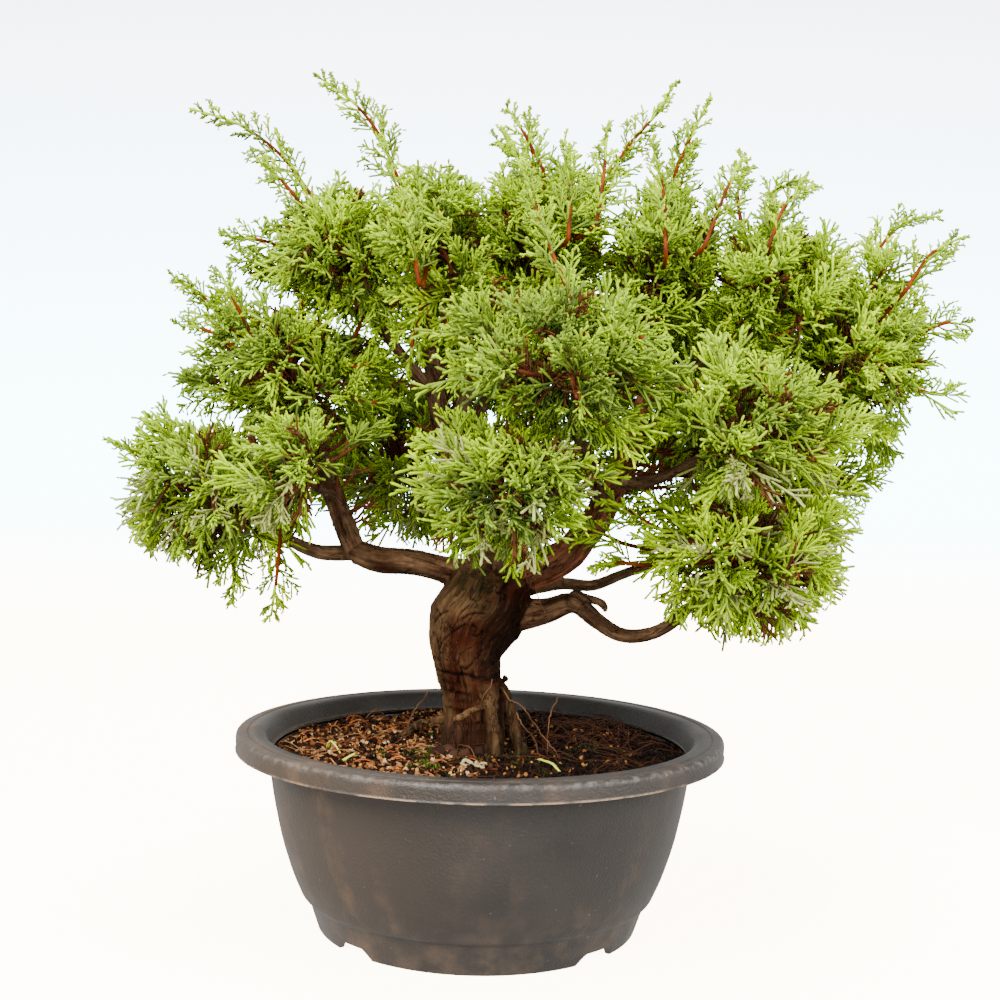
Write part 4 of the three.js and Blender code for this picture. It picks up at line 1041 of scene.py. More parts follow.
# A mass has the limb that feeds it, its oval's middle and half-widths, and the long shoots that
# stand out of it, each from its tip inwards.
MASSES = {
    "left_low": ("bough_left_reach", (-111, -10, 175), (36, 49, 31),
                 [[(-100, -20, 133), (-100, -18, 145), (-101, -16, 158)]]),
    "left_inner": ("bough_left_inner", (-68, -42, 184), (29, 35, 23),
                   [[(-83, -30, 127), (-81, -31, 143), (-79, -35, 162)]]),
    "left_mid": ("bough_left_rise", (-81, 0, 224), (41, 53, 33),
                 [[(-132, 5, 263), (-118, 4, 255), (-106, 2, 242)]]),
    "left_upper": ("bough_left_upper", (-60, -2, 270), (36, 51, 35),
                   [[(-123, -5, 330), (-103, -5, 324), (-87, -4, 313), (-74, -3, 297)],
                    [(-108, -15, 278), (-92, -12, 277), (-78, -7, 272)]]),
    "top_left": ("bough_top_left", (-24, -12, 276), (32, 51, 32),
                 [[(-71, -20, 341), (-57, -18, 332), (-47, -16, 321), (-37, -14, 300)]]),
    "top_centre": ("bough_top_centre", (20, 12, 281), (37, 53, 37),
                   [[(0, -15, 319), (10, -13, 313), (17, -8, 299)],
                    [(4, 2, 336), (12, 3, 325), (20, 5, 311)],
                    [(75, 14, 351), (67, 13, 337), (55, 12, 322), (42, 12, 300)]]),
    "top_right": ("bough_top_right", (70, 8, 269), (33, 51, 37),
                  [[(88, 0, 341), (82, 1, 329), (76, 3, 315), (71, 5, 298)]]),
    "right_top": ("bough_right_top", (114, 0, 260), (36, 53, 36),
                  [[(128, 0, 310), (116, 0, 304), (111, 1, 288)],
                   [(108, 24, 320), (103, 20, 307), (104, 12, 288)]]),
    "right_far": ("bough_right_far", (150, 10, 240), (33, 57, 41),
                  [[(183, 0, 295), (172, 2, 294), (161, 5, 284), (158, 8, 268)],
                   [(196, 0, 251), (188, 3, 252), (177, 6, 247)]]),
    "right_mid": ("bough_right", (98, -48, 205), (41, 47, 29), []),
    "right_low": ("bough_right_low", (102, -24, 154), (40, 53, 34), []),
    "front_upper": ("bough_front_upper", (26, -68, 224), (41, 45, 32), []),
    "front_low": ("bough_front", (12, -62, 182), (36, 43, 35), []),
    "back_left": ("bough_back_left", (-41, 75, 192), (43, 51, 41),
                  [[(-78, 96, 238), (-70, 92, 228), (-60, 86, 214)]]),
    "back_centre": ("bough_back_centre", (4, 88, 252), (55, 53, 53),
                    [[(-30, 112, 316), (-24, 106, 303), (-14, 98, 284)],
                     [(28, 122, 322), (24, 114, 309), (16, 104, 290)]]),
    "back_right": ("bough_back_right", (89, 84, 225), (57, 55, 51),
                   [[(118, 118, 286), (112, 110, 276), (104, 100, 260)]]),
    "right_back": ("bough_right_mid", (128, 50, 184), (35, 50, 37), []),
}
MIDDLES = np.array([mass[1] for mass in MASSES.values()], float)
REACHES = np.array([mass[2] for mass in MASSES.values()], float)
# Finer shoots: they stand out of the top, hang over the crown's front, and close its far side.
FINER_SHOOTS = {
    "front_upper": [[(2, -24, 322), (11, -38, 303), (18, -56, 281), (26, -74, 258), (34, -84, 240)],
                    [(66, -84, 226), (57, -86, 234), (50, -82, 238), (42, -76, 232)]],
    "top_left": [[(-44, -34, 322), (-38, -44, 300), (-30, -58, 276), (-26, -62, 256)],
                 [(-31, -24, 224), (-30, -27, 237), (-27, -24, 252)],
                 [(-46, -20, 238), (-40, -22, 248), (-32, -18, 260)],
                 [(-14, -22, 230), (-17, -26, 243), (-20, -22, 256)]],
    "top_centre": [[(28, -12, 322), (30, -30, 300), (29, -48, 276)],
                   [(46, 4, 330), (44, -16, 308), (40, -40, 282)],
                   [(14, 30, 340), (16, 28, 322), (18, 24, 306)]],
    "back_centre": [[(-6, 52, 196), (-4, 60, 208), (0, 70, 222)],
                    [(8, 50, 190), (8, 58, 205), (8, 70, 222)],
                    [(22, 50, 194), (20, 58, 208), (16, 70, 222)],
                    [(36, 52, 190), (31, 60, 205), (24, 72, 222)]],
    "top_right": [[(101, -8, 318), (92, -20, 300), (82, -38, 276)],
                  [(62, -14, 322), (66, -30, 298), (66, -46, 272)],
                  [(84, 30, 330), (80, 28, 312), (76, 22, 296)]],
    "right_top": [[(130, -8, 306), (116, -22, 296), (106, -40, 276)]],
    "right_far": [[(186, -22, 284), (172, -26, 276), (162, -30, 262)],
                  [(190, -8, 226), (182, -10, 222), (172, -10, 224)]],
    "left_mid": [[(-124, -18, 242), (-112, -22, 240), (-102, -20, 234)],
                 [(-38, -20, 233), (-48, -22, 228), (-62, -16, 226)],
                 [(-34, -16, 214), (-46, -18, 213), (-60, -12, 216)],
                 [(-57, -16, 264), (-62, -20, 250), (-68, -16, 236)],
                 [(-70, -14, 266), (-75, -16, 252), (-79, -12, 238)],
                 [(-46, -14, 262), (-50, -18, 249), (-55, -12, 236)],
                 [(-104, -40, 262), (-98, -38, 250), (-92, -34, 238)]],
    "left_upper": [[(-92, -24, 306), (-82, -26, 298), (-74, -24, 288)]],
    "left_low": [[(-148, -20, 196), (-140, -18, 190), (-130, -16, 184)]],
    "right_back": [[(36, 26, 190), (48, 32, 191), (66, 40, 190)],
                   [(44, 22, 178), (56, 30, 178), (72, 38, 180)],
                   [(40, 34, 184), (54, 40, 186), (70, 46, 186)],
                   [(48, 36, 198), (60, 42, 198), (76, 48, 196)],
                   [(58, 18, 172), (70, 26, 170), (84, 34, 174)],
                   [(46, 24, 204), (58, 32, 202), (74, 40, 198)]],
    "right_low": [[(34, -34, 168), (43, -34, 165), (54, -30, 160)],
                  [(42, -40, 152), (52, -38, 153), (62, -34, 152)],
                  [(46, -46, 178), (54, -44, 174), (64, -38, 168)]],
}
GOLDEN_ANGLE = np.pi * (3 - np.sqrt(5))
UP = np.array([0, 0, 1.0])
CROWN_HEART = np.array([10.0, 5.0, 165.0])
CROWN_TOP = 300.0
LIMB_CLEARANCE = 0.4
# A mass fills its oval and a little more, and almost twice it in the valley between two masses.
OUTERMOST = 1.05
VALLEY_FROM = 1.8
VALLEY_MOST = 0.8
TOP_FADE = 25.0
# Twigs. One side twig in seven stays deep inside, and the others end a spray's length from the
# edge, further in where a hollow lies.
GROWTH_SEED = 11
SPRAY_SEED = 500
TWIGS = 13
TWIG_SHORTEST = 0.5
TWIG_LONGEST = 0.74
STEM_LEAD = 8.0
SIDE_TWIG_AREA = 385.0
DEEP_ONE_IN = 7
DEEP_SHARE = 0.62
HOLLOW_DEPTH = 15.0
HOLLOW_LENGTH = 16.0
HIGH_MASS = 240.0
HIGH_SET_BACK = 4.0
# Sprays. They point along their side twig and out of it, and rise more, the higher they stand.
SPRAYS_ON_SIDE_TWIG = 6
FIRST_SPRAY_AT = 0.28
SPRAY_LENGTH = 19.5
SPRAY_WIDTH = 2.6
SPRAY_ANGLE = 0.62
TIP_ANGLE = 0.12
RISE_FROM = 165.0
RISE_OVER = 130.0
CORD_RADIUS = 0.62
# Shoots: the share of a shoot that has bark, from its mass outwards, and how close its fans stand.
BARKED_SHARE = 0.62
FAN_STEP = 2.8
# Where the crown is open: the middle and half-widths of ovals that no spray reaches into. They lie
# before the left bough's rise, the right leader, the leader's foot, the bough that leaves it for
# the right, and in the middle of the front.
OPENINGS = np.array([
    ((-53, -42, 168), (15, 34, 24)),
    ((45, -58, 163), (11, 32, 24)),
    ((33, -62, 152), (13, 36, 15)),
    ((69, -60, 190), (12, 32, 12)),
    ((17, -98, 205), (19, 20, 8)),
], float)
# No spray's tip stands out of the plain solids' box by more than this.
REACH_PAST = 4.0
low_reach = np.array(cad_box[0]) / MM - AXIS - REACH_PAST
high_reach = np.array(cad_box[1]) / MM - AXIS + REACH_PAST
# The greens are numbered from dark to light, with two dull ones after them and dead brown last.
LEAF_COLOURS = [(60, 76, 32), (86, 106, 38), (108, 132, 38), (128, 157, 28), (146, 177, 12), (164, 194, 4),
                (124, 133, 68), (150, 157, 92), (74, 44, 26)]
GREENS, DEAD = 6, 8


def depth_in(points):
    """How far out in each mass's oval the points lie, 0 at its middle and 1 on its edge, and the
    slope of that, which is how fast it grows in each direction."""
    away = points[:, None] - MIDDLES
    depth = np.linalg.norm(away / REACHES, axis=2)
    return depth, away / REACHES**2 / np.maximum(depth, 1e-6)[..., None]


def in_own_space(mass, points, width):
    """True for points that a mass may fill: inside its oval and deeper in it than in any other
    mass's oval, by the width of the piece there. In the valley between two masses it may stand
    further out, the nearer the other one is, but not at the crown's top."""
    depth, slope = depth_in(points)
    own = depth[:, mass].copy()
    depth[:, mass] = np.inf
    room = width[:, None] * np.linalg.norm(slope - slope[:, mass:mass + 1], axis=2)
    valley = np.clip(VALLEY_FROM - depth.min(axis=1), 0, VALLEY_MOST)
    outermost = OUTERMOST + ramp(points[:, 2], CROWN_TOP, CROWN_TOP - TOP_FADE) * valley
    return np.all(depth - own[:, None] > room, axis=1) & (own <= outermost)


def room_out(mass, directions):
    """How far out each direction from a mass's middle stays in its own space, as a share of the
    oval's reach: the last of even steps outwards before the first that fails."""
    shares = np.arange(0.3, 1.61, 0.05)
    points = MIDDLES[mass] + directions[:, None] * REACHES[mass] * shares[:, None]
    inside = in_own_space(mass, points.reshape(-1, 3), np.full(points.shape[0] * len(shares), 1.5))
    steps = np.cumprod(inside.reshape(-1, len(shares)), axis=1).sum(axis=1)
    return shares[np.maximum(steps - 1, 0)]


def clear_of_limbs(points, width):
    """True for points that are further than the width from every limb."""
    near = AXES[::2]
    away = np.linalg.norm(points[:, None] - near[None, :, :3], axis=2)
    return np.all(away > near[:, 7] + width[:, None] + LIMB_CLEARANCE, axis=1)


def in_openings(points):
    """True for points inside one of the crown's openings."""
    away = (points[:, None] - OPENINGS[:, 0]) / OPENINGS[:, 1]
    return np.any(np.linalg.norm(away, axis=2) < 1, axis=1)


def lines_are_free(mass, start, stop, width):
    """True for lines, as wide in the middle as the width, that keep to their mass's space and touch
    no limb anywhere along them."""
    free = np.ones(len(start), bool)
    for share in np.linspace(0, 1, 6)[1:]:
        points = start + (stop - start) * share
        here = np.full(len(start), width * np.sin(np.pi * share))
        free &= in_own_space(mass, points, here) & clear_of_limbs(points, here)
    return free


def spread(count, turn):
    """Directions spread evenly over a ball: level steps in height, and a golden angle at each."""
    height = 1 - (2 * np.arange(count) + 1) / count
    angle = np.arange(count) * GOLDEN_ANGLE + turn
    flat = np.sqrt(1 - height**2)
    return np.stack([flat * np.cos(angle), flat * np.sin(angle), height], axis=-1)


def spray_pattern(random, pairs, flatness, forked, spread_angle, side_length):
    """One spray of scale-leaved cords, of length one along x. Its axis has three parts that bend
    upwards. Side cords leave it by turns on either side, shorter towards the tip, and nubs fork
    off a share of them. Returns starts, ends, thickness, how light each cord's green is, and
    whether it is a nub."""
    bend = random.uniform(-0.08, 0.24)
    stops = np.array([[0, 0, 0], [0.38, 0, 0], [0.72, 0, bend * 0.5], [1, 0, bend]])
    count = pairs * 2
    share = np.linspace(0.1, 0.86, count) + random.uniform(-0.05, 0.05, count)
    root = np.stack([np.interp(share, stops[:, 0], stops[:, axis]) for axis in range(3)], axis=-1)
    around = np.arange(count) * np.pi + random.normal(0, flatness, count)
    angle = spread_angle * random.uniform(0.6, 1.35, count)
    length = side_length * (0.5 + 0.8 * (1 - share)) * random.uniform(0.65, 1.2, count)
    side = np.stack([np.zeros_like(around), np.cos(around), np.sin(around)], axis=-1)
    heading = np.cos(angle)[:, None] * [1, 0, 0] + np.sin(angle)[:, None] * side
    forks = np.flatnonzero(random.uniform(size=count * 2) < forked)
    side_of = np.where(forks < count, -0.7, 0.7)[:, None]
    forks = forks % count
    twist = unit(np.cross(heading[forks], [0, 0, 1]) + random.normal(0, 0.45, (len(forks), 3)))
    fork_way = unit(np.cos(side_of) * heading[forks] + np.sin(side_of) * twist)
    along = length[forks, None] * random.uniform(0.3, 0.8, (len(forks), 1))
    nub_root = root[forks] + heading[forks] * along
    nub_tip = nub_root + fork_way * random.uniform(0.13, 0.24, (len(forks), 1))
    starts = np.concatenate([stops[:-1], root, nub_root])
    ends = np.concatenate([stops[1:], root + heading * length[:, None], nub_tip])
    thick = np.concatenate([[0.9, 1.0, 1.0], np.full(count, 0.95), np.full(len(forks), 0.9)])
    side_light = 1 + (random.uniform(size=count) < 0.3 + 0.5 * share)
    light = np.concatenate([[0, 1, 2], side_light, np.full(len(forks), 2)])
    return starts, ends, thick, light, np.arange(len(starts)) >= 3 + count


# Open sprays of long slender cords, as low in the crown, and close nubbed fans, as at its top.
PATTERN_COUNT = 16
pattern_random = np.random.default_rng(23)
OPEN_SPRAYS = [spray_pattern(pattern_random, 4, 0.9, 0.2, 0.55, 0.52) for _ in range(PATTERN_COUNT)]
FANS = [spray_pattern(pattern_random, 4, 0.55, 0.5, 0.68, 0.4) for _ in range(PATTERN_COUNT)]
PATTERNS = OPEN_SPRAYS + FANS


def cords(starts, ends, radii, at, widths):
    """Blunt three-sided cords: a pointed foot, a ring at each of the shares at, as wide there as
    the radius times its width, and a point at the tip."""
    way = ends - starts
    paths = starts[:, None] + way[:, None] * np.array(at)[:, None]
    along = unit(way)
    across = unit(np.cross(along, [0.34, 0.21, 0.92]))
    upright = np.cross(along, across)
    turn = np.linspace(0, 2 * np.pi, 3, endpoint=False)[:, None]
    circle = np.cos(turn) * across[:, None] + np.sin(turn) * upright[:, None]
    rings = paths[:, :, None] + (radii[:, None] * np.array(widths))[:, :, None, None] * circle[:, None]
    return skin(rings, starts, ends)


def grow_sprays(roots, headings, rolls, lengths, tones, which):
    """Sets a pattern at each root along its heading, rolled about it, and gives the cords' starts,
    ends, radii and finishes, and which of them are nubs."""
    level = unit(np.cross(headings, UP) + [1e-6, 0, 0])
    keel = np.cross(level, headings)
    side = np.cos(rolls)[:, None] * level + np.sin(rolls)[:, None] * keel
    third = np.cross(headings, side)
    frames = np.stack([headings, side, third], axis=1)
    made = []
    for number, (starts, ends, thick, light, nub) in enumerate(PATTERNS):
        chosen = np.flatnonzero(which == number)
        if len(chosen) == 0:
            continue
        turn = frames[chosen] * lengths[chosen, None, None]
        at = roots[chosen, None]
        begin = np.einsum("cj,njk->nck", starts, turn) + at
        stop = np.einsum("cj,njk->nck", ends, turn) + at
        size = CORD_RADIUS * np.sqrt(lengths[chosen] / SPRAY_LENGTH).clip(0.8, 1.1)
        radius = size[:, None] * thick
        tone = tones[chosen, None]
        green = np.clip(tone + light - 1, 0, GREENS - 1)
        tone = np.where(tone >= GREENS, tone, green)
        nubs = np.tile(nub, len(chosen))
        made.append((begin.reshape(-1, 3), stop.reshape(-1, 3), radius.ravel(), tone.ravel(), nubs))
    return tuple(np.concatenate(part) for part in zip(*made))


def grow_twigs(mass, random):
    """Twigs from the middle of a mass's oval, where its stem ends, towards points spread evenly
    over the oval. One that would touch a limb or reach into an opening is left out."""
    middle, reach = MIDDLES[mass], REACHES[mass]
    directions = spread(TWIGS, random.uniform(0, 6))
    ends = middle + directions * reach * random.uniform(TWIG_SHORTEST, TWIG_LONGEST, (TWIGS, 1))
    bends = (middle + ends) / 2 + UP * 3 + random.normal(0, 2.5, (TWIGS, 3))
    free = lines_are_free(mass, bends, ends, 1.2) & ~in_openings(ends) & ~in_openings(bends)
    return bent(np.tile(middle, (free.sum(), 1)), bends[free], ends[free], 9)


def side_twig_ends(mass, twigs, random):
    """Where the side twigs end: an even spread over the oval, as many as its area needs, and the
    twigs' own directions, each set back from the edge of the room that there is. Returns the ends
    and how far out they lie."""
    middle, reach = MIDDLES[mass], REACHES[mass]
    area = (reach[0] * reach[1] + reach[1] * reach[2] + reach[0] * reach[2]) / 3 * 4 * np.pi
    count = int(area / SIDE_TWIG_AREA)
    directions = unit(spread(count, random.uniform(0, 6)) + random.normal(0, 0.07, (count, 3)))
    directions = np.vstack([directions, unit((twigs[:, -1] - middle) / reach)])
    long_way = np.linalg.norm(directions * reach, axis=1)
    room = room_out(mass, directions)
    bare = np.clip(2 * room - 1, 0, 1)
    hollows = lattice_noise((middle + directions * reach) / HOLLOW_LENGTH, 31)
    hollows = HOLLOW_DEPTH * np.clip(hollows, -0.3, 1) * bare
    set_back = random.uniform(0.65, 1.15, len(directions)) * SPRAY_LENGTH * (0.6 + 0.4 * bare) + hollows
    set_back += HIGH_SET_BACK * np.clip(directions[:, 2], 0, 1) * (middle[2] > HIGH_MASS)
    outness = np.maximum(room - set_back / long_way, 0.3)
    outness[:count:DEEP_ONE_IN] *= DEEP_SHARE
    ends = middle + directions * reach * outness[:, None]
    width = np.full(len(ends), 2.0)
    keep = in_own_space(mass, ends, width) & ~in_openings(ends) & clear_of_limbs(ends, width)
    return ends[keep], outness[keep]


def grow_side_twigs(mass, twigs, random):
    """Side twigs to their ends, each from the nearest place on a twig that lies further in, with
    a random share more or less to the distance, and bent out from the middle of the oval."""
    middle, reach = MIDDLES[mass], REACHES[mass]
    ends, outness = side_twig_ends(mass, twigs, random)
    holds = twigs[:, 1:].reshape(-1, 3)
    hold_depth = np.linalg.norm((holds - middle) / reach, axis=1)
    away = np.linalg.norm(ends[:, None] - holds, axis=2)
    choice = away * random.uniform(0.8, 1.25, away.shape) + 200 * (hold_depth > outness[:, None] - 0.2)
    starts = holds[choice.argmin(axis=1)]
    lean = unit(starts - middle + 1e-6) * away.min(axis=1).clip(0, 40)[:, None] * 0.35
    control = (starts + ends) / 2 + lean * 0.5 + UP * 1.5 + random.normal(0, 1.2, ends.shape)
    return bent(starts, control, ends, 6)


def twiglets(side_twigs, middle, random):
    """Fine bare twigs that stray from the inner part of each side twig, two on each."""
    stems = np.repeat(side_twigs, 2, axis=0)
    at = random.integers(0, 4, len(stems))
    root = stems[np.arange(len(stems)), at]
    way = unit(unit(root - middle + 1e-6) * 0.5 + random.normal(0, 0.7, root.shape))
    tip = root + way * random.uniform(6, 15, (len(root), 1))
    bend = (root + tip) / 2 + random.normal(0, 1.2, root.shape)
    kept = ~in_openings(tip) | (random.uniform(size=len(tip)) < 0.3)
    return bent(root[kept], bend[kept], tip[kept], 4)


def tufts(mass, side_twigs, random):
    """The sprays of a mass. They stand along the outer part of each side twig, a golden angle or
    so round it from one to the next, and the last one carries on from its tip. Returns roots,
    headings, lengths, and how light each is for its twig."""
    middle, reach = MIDDLES[mass], REACHES[mass]
    side_ends = side_twigs[:, -1]
    outward = unit(unit((side_ends - middle) / reach**2) + unit(side_ends - CROWN_HEART))
    lift = np.clip((side_ends[:, 2:] - RISE_FROM) / RISE_OVER, -0.1, 0.75) * UP
    clump = random.normal(0, 0.5, len(side_twigs))
    sway = random.normal(0, 0.4, (len(side_twigs), 3))
    spans = side_twigs.shape[1] - 1
    sprays = []
    for number, share in enumerate(np.linspace(0, 1, SPRAYS_ON_SIDE_TWIG)):
        at = spans * (FIRST_SPRAY_AT + (1 - FIRST_SPRAY_AT) * share)
        low = min(int(at), spans - 1)
        step = side_twigs[:, low + 1] - side_twigs[:, low]
        roots = side_twigs[:, low] + step * (at - low)
        along = unit(unit(step) + 0.6 * outward + lift + sway)
        side = unit(np.cross(along, UP) + 1e-6)
        turn = number * GOLDEN_ANGLE + random.uniform(0, 6.28, len(roots))
        side = np.cos(turn)[:, None] * side + np.sin(turn)[:, None] * np.cross(along, side)
        angle = (TIP_ANGLE if share == 1 else SPRAY_ANGLE) * random.uniform(0.6, 1.35, len(roots))
        heading = unit(np.cos(angle)[:, None] * along + np.sin(angle)[:, None] * side)
        length = SPRAY_LENGTH * random.uniform(0.7, 1.15, len(roots))
        sprays.append((roots, heading, length, clump + 0.9 * (share - 0.5)))
    return tuple(np.concatenate(part) for part in zip(*sprays))


def grow_mass(mass, name):
    """Grows one mass: stem, twigs, side twigs and their twiglets, then sprays, and then its long
    shoots. Returns the wood as runs of paths with their first and last radius, the same for the
    shoots' stems, the shoots' green axes, and all sprays as roots, headings, lengths and tones."""
    random = np.random.default_rng(GROWTH_SEED + mass)
    limb_name, _, _, shoots = MASSES[name]
    path, radii = limb_route(LIMBS[limb_name], AXIS_STEPS)
    lead = path[-1:] + unit(path[-1] - path[-2]) * STEM_LEAD
    middle = MIDDLES[mass]
    wood = [(bent(path[-1:], lead, middle[None], 7), radii[-1], radii[-1] * 0.6)]
    twigs = grow_twigs(mass, random)
    side_twigs = grow_side_twigs(mass, twigs, random)
    wood += [(twigs, 1.3, 0.7), (side_twigs, 0.6, 0.4), (twiglets(side_twigs, middle, random), 0.34, 0.2)]
    roots, headings, lengths, lightness = tufts(mass, side_twigs, random)
    lengths, kept = fitted(mass, roots, headings, lengths)
    roots, headings, lengths, lightness = roots[kept], headings[kept], lengths[kept], lightness[kept]
    tones = green_of(mass, roots, headings, lightness, random)
    stems, axes = [], []
    parts = [(roots, headings, lengths, tones)]
    for shoot in shoots + FINER_SHOOTS.get(name, []):
        stem, axis, fans = grow_shoot(middle, shoot, random)
        stems.append((stem, 1.0, 0.65))
        axes.append(axis)
        parts.append(fans)
    return wood, stems, axes, tuple(np.concatenate(part) for part in zip(*parts))


def fitted(mass, roots, headings, lengths):
    """Sprays that would leave their mass's space or the crown's reach, touch a limb or close an
    opening are shortened, by two steps, and dropped where that won't do. Returns the lengths that
    fit, and which sprays are kept."""
    kept = np.zeros(len(roots), bool)
    fit = lengths.copy()
    for shorter in (1, 0.8, 0.6):
        tips = roots + headings * (lengths * shorter)[:, None]
        free = lines_are_free(mass, roots, tips, SPRAY_WIDTH)
        free &= ~in_openings(tips) & ~in_openings((roots + tips) / 2)
        free &= np.all((tips > low_reach) & (tips < high_reach), axis=1)
        fit = np.where(free & ~kept, lengths * shorter, fit)
        kept |= free
    return fit, kept


def green_of(mass, roots, headings, lightness, random):
    """Deals each spray its green. It is lighter far out, at the end of its twig and where it points
    upwards. Painted light makes it lighter low down, at the top and to the right, and painted shade
    makes it darker in the parts nearest to the front. Each twig is a little lighter or darker than
    the next, low sprays are dull in patches, and some deep inside are dead."""
    x, y, z = roots.T
    depth = np.linalg.norm((roots - MIDDLES[mass]) / REACHES[mass], axis=1)
    patch = lattice_noise(roots / 14, 41)
    light = 1.7 + 1.5 * (depth - 0.6) + 0.3 * headings[:, 2] + 0.6 * patch
    # Painted light: lighter low down, in place of light bounced up from below.
    light += 0.8 * ramp(z, 205, 165)
    # Painted shade: darker in the parts nearest to the front.
    light -= ramp(y, -70, -100)
    # Painted light: lighter at the top of the crown and to the right.
    light += 0.5 * ramp(z, 240, 280) + 0.5 * ramp(x, 50, 110)
    light += lightness + random.normal(0, 0.35, len(roots))
    tone = np.clip(np.round(light), 0, GREENS - 2).astype(int)
    low = (MIDDLES[mass, 2] - z) / REACHES[mass, 2]
    dull = (z < 195) & (0.5 * patch + 0.8 * low + random.normal(0, 0.4, len(roots)) > 0.4)
    tone[dull] = GREENS + (random.uniform(size=dull.sum()) < 0.4)
    dead = (depth < 0.5) & (random.uniform(size=len(roots)) < 0.16)
    tone[dead | (random.uniform(size=len(roots)) < 0.008)] = DEAD
    return tone


def grow_shoot(middle, shoot, random):
    """A long shoot. Its stem runs from the mass out to where the bark ends, and from there on its
    axis is a row of green cords. Fans stand by turns on either side, shorter towards the tip.
    Returns the stem's path, the green axis as starts and ends, and the fans."""
    outer = np.array(shoot[::-1], float)
    outer_part = smooth_path(outer, 12)
    run = np.append(0, np.cumsum(np.linalg.norm(np.diff(outer_part, axis=0), axis=1)))
    bark_end = int(len(outer_part) * BARKED_SHARE)
    stem = np.vstack([smooth_path(np.vstack([middle, outer[:2]]), 8)[:8], outer_part[:bark_end]])
    green = outer_part[bark_end - 1::3]
    step = np.diff(green, axis=0)
    count = int(run[-1] / FAN_STEP)
    at = np.linspace(0.03, 0.94, count) ** 0.85 * run[-1]
    roots = np.stack([np.interp(at, run, axis) for axis in outer_part.T], axis=-1)
    further = np.stack([np.interp(at + 2, run, axis) for axis in outer_part.T], axis=-1)
    way = unit(further - roots + 1e-9)
    side = unit(np.cross(way, UP) + 1e-6)
    turn = np.arange(count) * np.pi + random.normal(0, 0.8, count) + 0.8
    side = np.cos(turn)[:, None] * side + np.sin(turn)[:, None] * np.cross(way, side)
    angle = random.uniform(0.5, 0.8, count)[:, None]
    headings = np.cos(angle) * way + np.sin(angle) * side
    taper = 0.92 - 0.72 * at / run[-1]
    lengths = SPRAY_LENGTH * taper * random.uniform(0.8, 1.15, count)
    tones = np.clip(np.round(2.4 + random.normal(0, 0.8, count)), 1, GREENS - 2).astype(int)
    return stem[None], (green[:-1] - step * 0.2, green[1:] + step * 0.1), (roots, headings, lengths, tones)


def spray_shape(axes, roots, headings, lengths, tones, random):
    """All cords of a mass as one shape, with each cord's finish, once for its quads and once for
    its triangles. The higher a spray stands, the more often it is a close fan. A nub has one ring,
    so it has no quads, and a shoot's axis is a row of thicker cords."""
    rolls = random.uniform(0, np.pi, len(roots))
    fanned = random.uniform(size=len(roots)) < np.clip((roots[:, 2] - 185) / 70, 0.08, 0.9)
    which = np.where(fanned, len(OPEN_SPRAYS), 0) + random.integers(0, len(FANS), len(roots))
    starts, ends, radii, tone, nub = grow_sprays(roots, headings, rolls, lengths, tones, which)
    nubs = cords(starts[nub], ends[nub], radii[nub], [0.7], [1.0])
    nub_tone, starts, ends, radii, tone = tone[nub], starts[~nub], ends[~nub], radii[~nub], tone[~nub]
    for axis_starts, axis_ends in axes:
        starts, ends = np.vstack([starts, axis_starts]), np.vstack([ends, axis_ends])
        radii = np.append(radii, np.linspace(1.35, 1.0, len(axis_starts)) * CORD_RADIUS)
        tone = np.append(tone, np.full(len(axis_starts), GREENS - 2))
    shape = joined([cords(starts, ends, radii, [0.12, 0.88], [0.8, 1.05]), nubs])
    return shape, (tone, np.append(tone, nub_tone))


leaf_finishes = [start_finish(f"scale leaf {n}", colour, 0.6, 0.0) for n, colour in enumerate(LEAF_COLOURS)]
young_twig = twig_bark("young twig bark", (110, 44, 8), (72, 27, 8))
for mass, name in enumerate(MASSES):
    wood_runs, stems, axes, sprays = grow_mass(mass, name)
    shape, finish_of = spray_shape(axes, *sprays, np.random.default_rng(SPRAY_SEED + mass))
    leaves = make_piece("foliage_" + name + "_sprays", shape, leaf_finishes, finish_of)
    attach(leaves, "root")
    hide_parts("foliage_" + name)
    for kind, runs, finish in (("_twigs", wood_runs, old_twig), ("_shoots", stems, young_twig)):
        shapes = [thin_tubes(paths, first, last, 5 if first > 0.5 else 3) for paths, first, last in runs]
        if shapes:
            twigs = make_piece("foliage_" + name + kind, joined(shapes), [finish])
            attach(twigs, "root")

# The studio: a pale sweep of paper that curves up from floor to backdrop and glows by itself,
# cooler at the foot and greyer further up, under a broad soft light from the front left and weaker
# ones from above, the right and the front. Its lengths are in metres.
SWEEP_HALF = 3.0
SWEEP_FRONT = -2.0
SWEEP_BACK = 1.3
SWEEP_BEND = 0.5
SWEEP_TOP = 3.0
PAPER_GLOW = 12.0
AIR_GLOW = 1.22
bend_turn = np.linspace(0, np.pi / 2, 24)
bend_y = SWEEP_BACK - SWEEP_BEND + SWEEP_BEND * np.sin(bend_turn)
sweep_y = np.concatenate([[SWEEP_FRONT], bend_y, [SWEEP_BACK]])
sweep_z = np.concatenate([[0], SWEEP_BEND - SWEEP_BEND * np.cos(bend_turn), [SWEEP_TOP]])
sweep_mesh = bpy.data.meshes.new("backdrop")
left = np.stack([np.full_like(sweep_y, -SWEEP_HALF), sweep_y, sweep_z], axis=-1)
right = left * [-1, 1, 1]
rows = np.arange(len(sweep_y) - 1)
sweep_faces = np.stack([rows, rows + len(sweep_y), rows + len(sweep_y) + 1, rows + 1], axis=-1)
sweep_mesh.from_pydata(np.concatenate([left, right]).tolist(), [], sweep_faces.tolist())
paper = start_finish("backdrop paper", (236, 232, 226), 0.9)
paper_height = put(paper, "SeparateXYZ", {"Vector": places(paper)}).outputs["Z"]
glow = blended(paper, between(paper, paper_height, 0.01, 0.12), (180, 238, 255), (255, 236, 208))
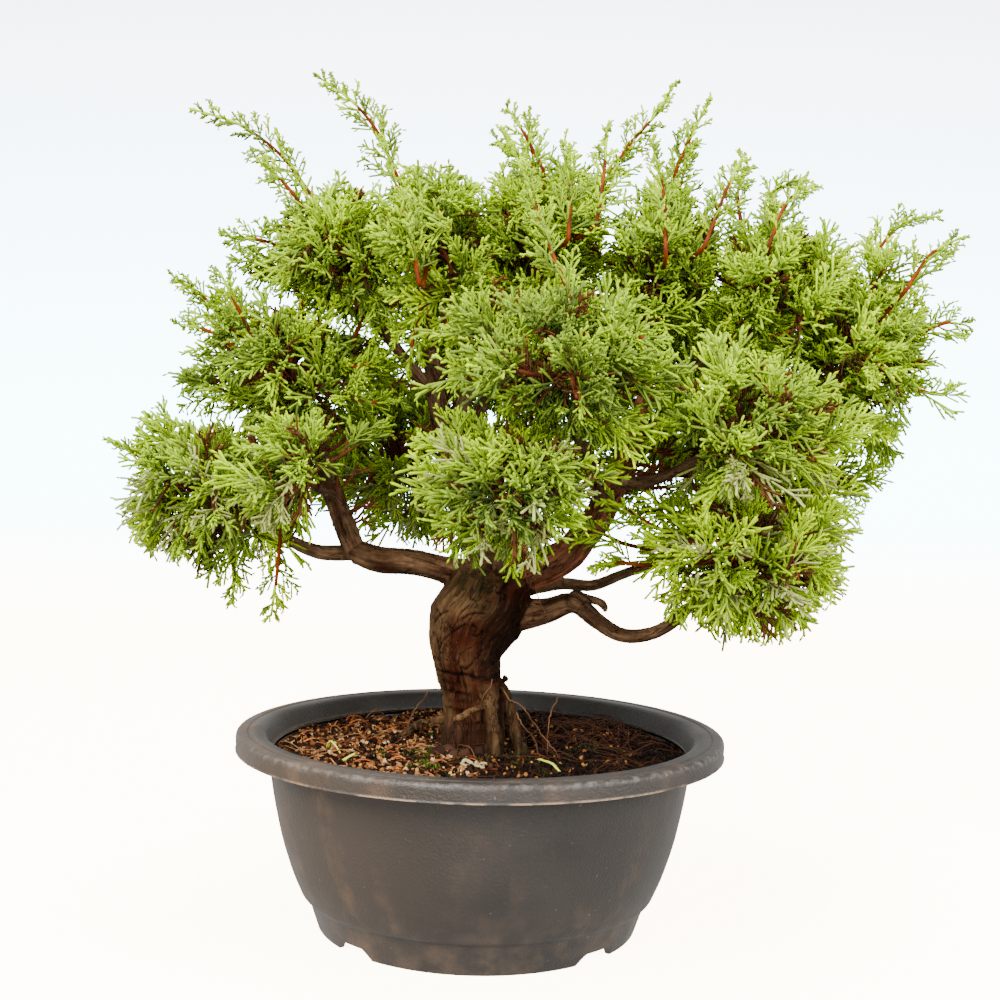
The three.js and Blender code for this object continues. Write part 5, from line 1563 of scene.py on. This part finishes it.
glow = blended(paper, between(paper, paper_height, 0.2, 0.8), (134, 137, 156), glow)
paper_shader = paper.node_tree.nodes["Principled BSDF"]
paper_shader.inputs["Emission Strength"].default_value = PAPER_GLOW
paper.node_tree.links.new(glow, paper_shader.inputs["Emission Color"])
sweep_mesh.materials.append(paper)
sweep_mesh.polygons.foreach_set("use_smooth", np.ones(len(rows), bool))
backdrop = bpy.data.objects.new("backdrop", sweep_mesh)
bpy.context.scene.collection.objects.link(backdrop)
backdrop.visible_diffuse = False
backdrop.visible_glossy = False


def soft_light(name, place, target, size, power, colour):
    """A square panel of light at a place, facing a target."""
    lamp = bpy.data.lights.new(name, "AREA")
    lamp.size = size
    lamp.energy = power
    lamp.color = colour
    holder = bpy.data.objects.new(name, lamp)
    holder.location = place
    holder.visible_camera = False
    holder.rotation_euler = (Vector(target) - Vector(place)).to_track_quat("-Z", "Y").to_euler()
    bpy.context.scene.collection.objects.link(holder)


# Each panel has a place, a target, a width, a power in watts, and a colour.
soft_light("key", (-0.75, -1.2, 1.2), (0, 0, 0.2), 0.9, 74, (1.0, 0.96, 0.9))
soft_light("top", (0.0, 0.0, 1.7), (0, 0, 0.2), 1.0, 55, (1.0, 1.0, 1.0))
soft_light("side", (1.3, -0.9, 0.8), (0, 0, 0.2), 0.8, 50, (1.0, 0.98, 0.96))
soft_light("front", (0.1, -1.8, 0.4), (0, 0, 0.2), 1.0, 26, (1.0, 0.98, 0.95))
world = bpy.data.worlds.new("studio air")
world.use_nodes = True
air = world.node_tree.nodes["Background"]
air.inputs["Color"].default_value = (1.0, 0.99, 0.95, 1)
air.inputs["Strength"].default_value = AIR_GLOW
bpy.context.scene.world = world

# The camera: low in front of the pot, about three pot widths away, tipped down a little and turned
# slightly about its own line of sight. Its place is in metres, and its turns are in radians.
CAMERA_PLACE = (0.00572, -0.5965, 0.1976)
CAMERA_LENS = 52.2
CAMERA_DOWN = 0.0383
CAMERA_ROLL = 0.024
camera = bpy.data.cameras.new("camera")
camera.lens = CAMERA_LENS
camera.sensor_width = 36
camera_object = bpy.data.objects.new("camera", camera)
place = Matrix.Translation(Vector(CAMERA_PLACE) + Vector(AXIS * MM))
tip_down = Matrix.Rotation(np.pi / 2 - CAMERA_DOWN, 4, "X")
camera_object.matrix_world = place @ tip_down @ Matrix.Rotation(CAMERA_ROLL, 4, "Z")
bpy.context.scene.collection.objects.link(camera_object)
bpy.context.scene.camera = camera_object
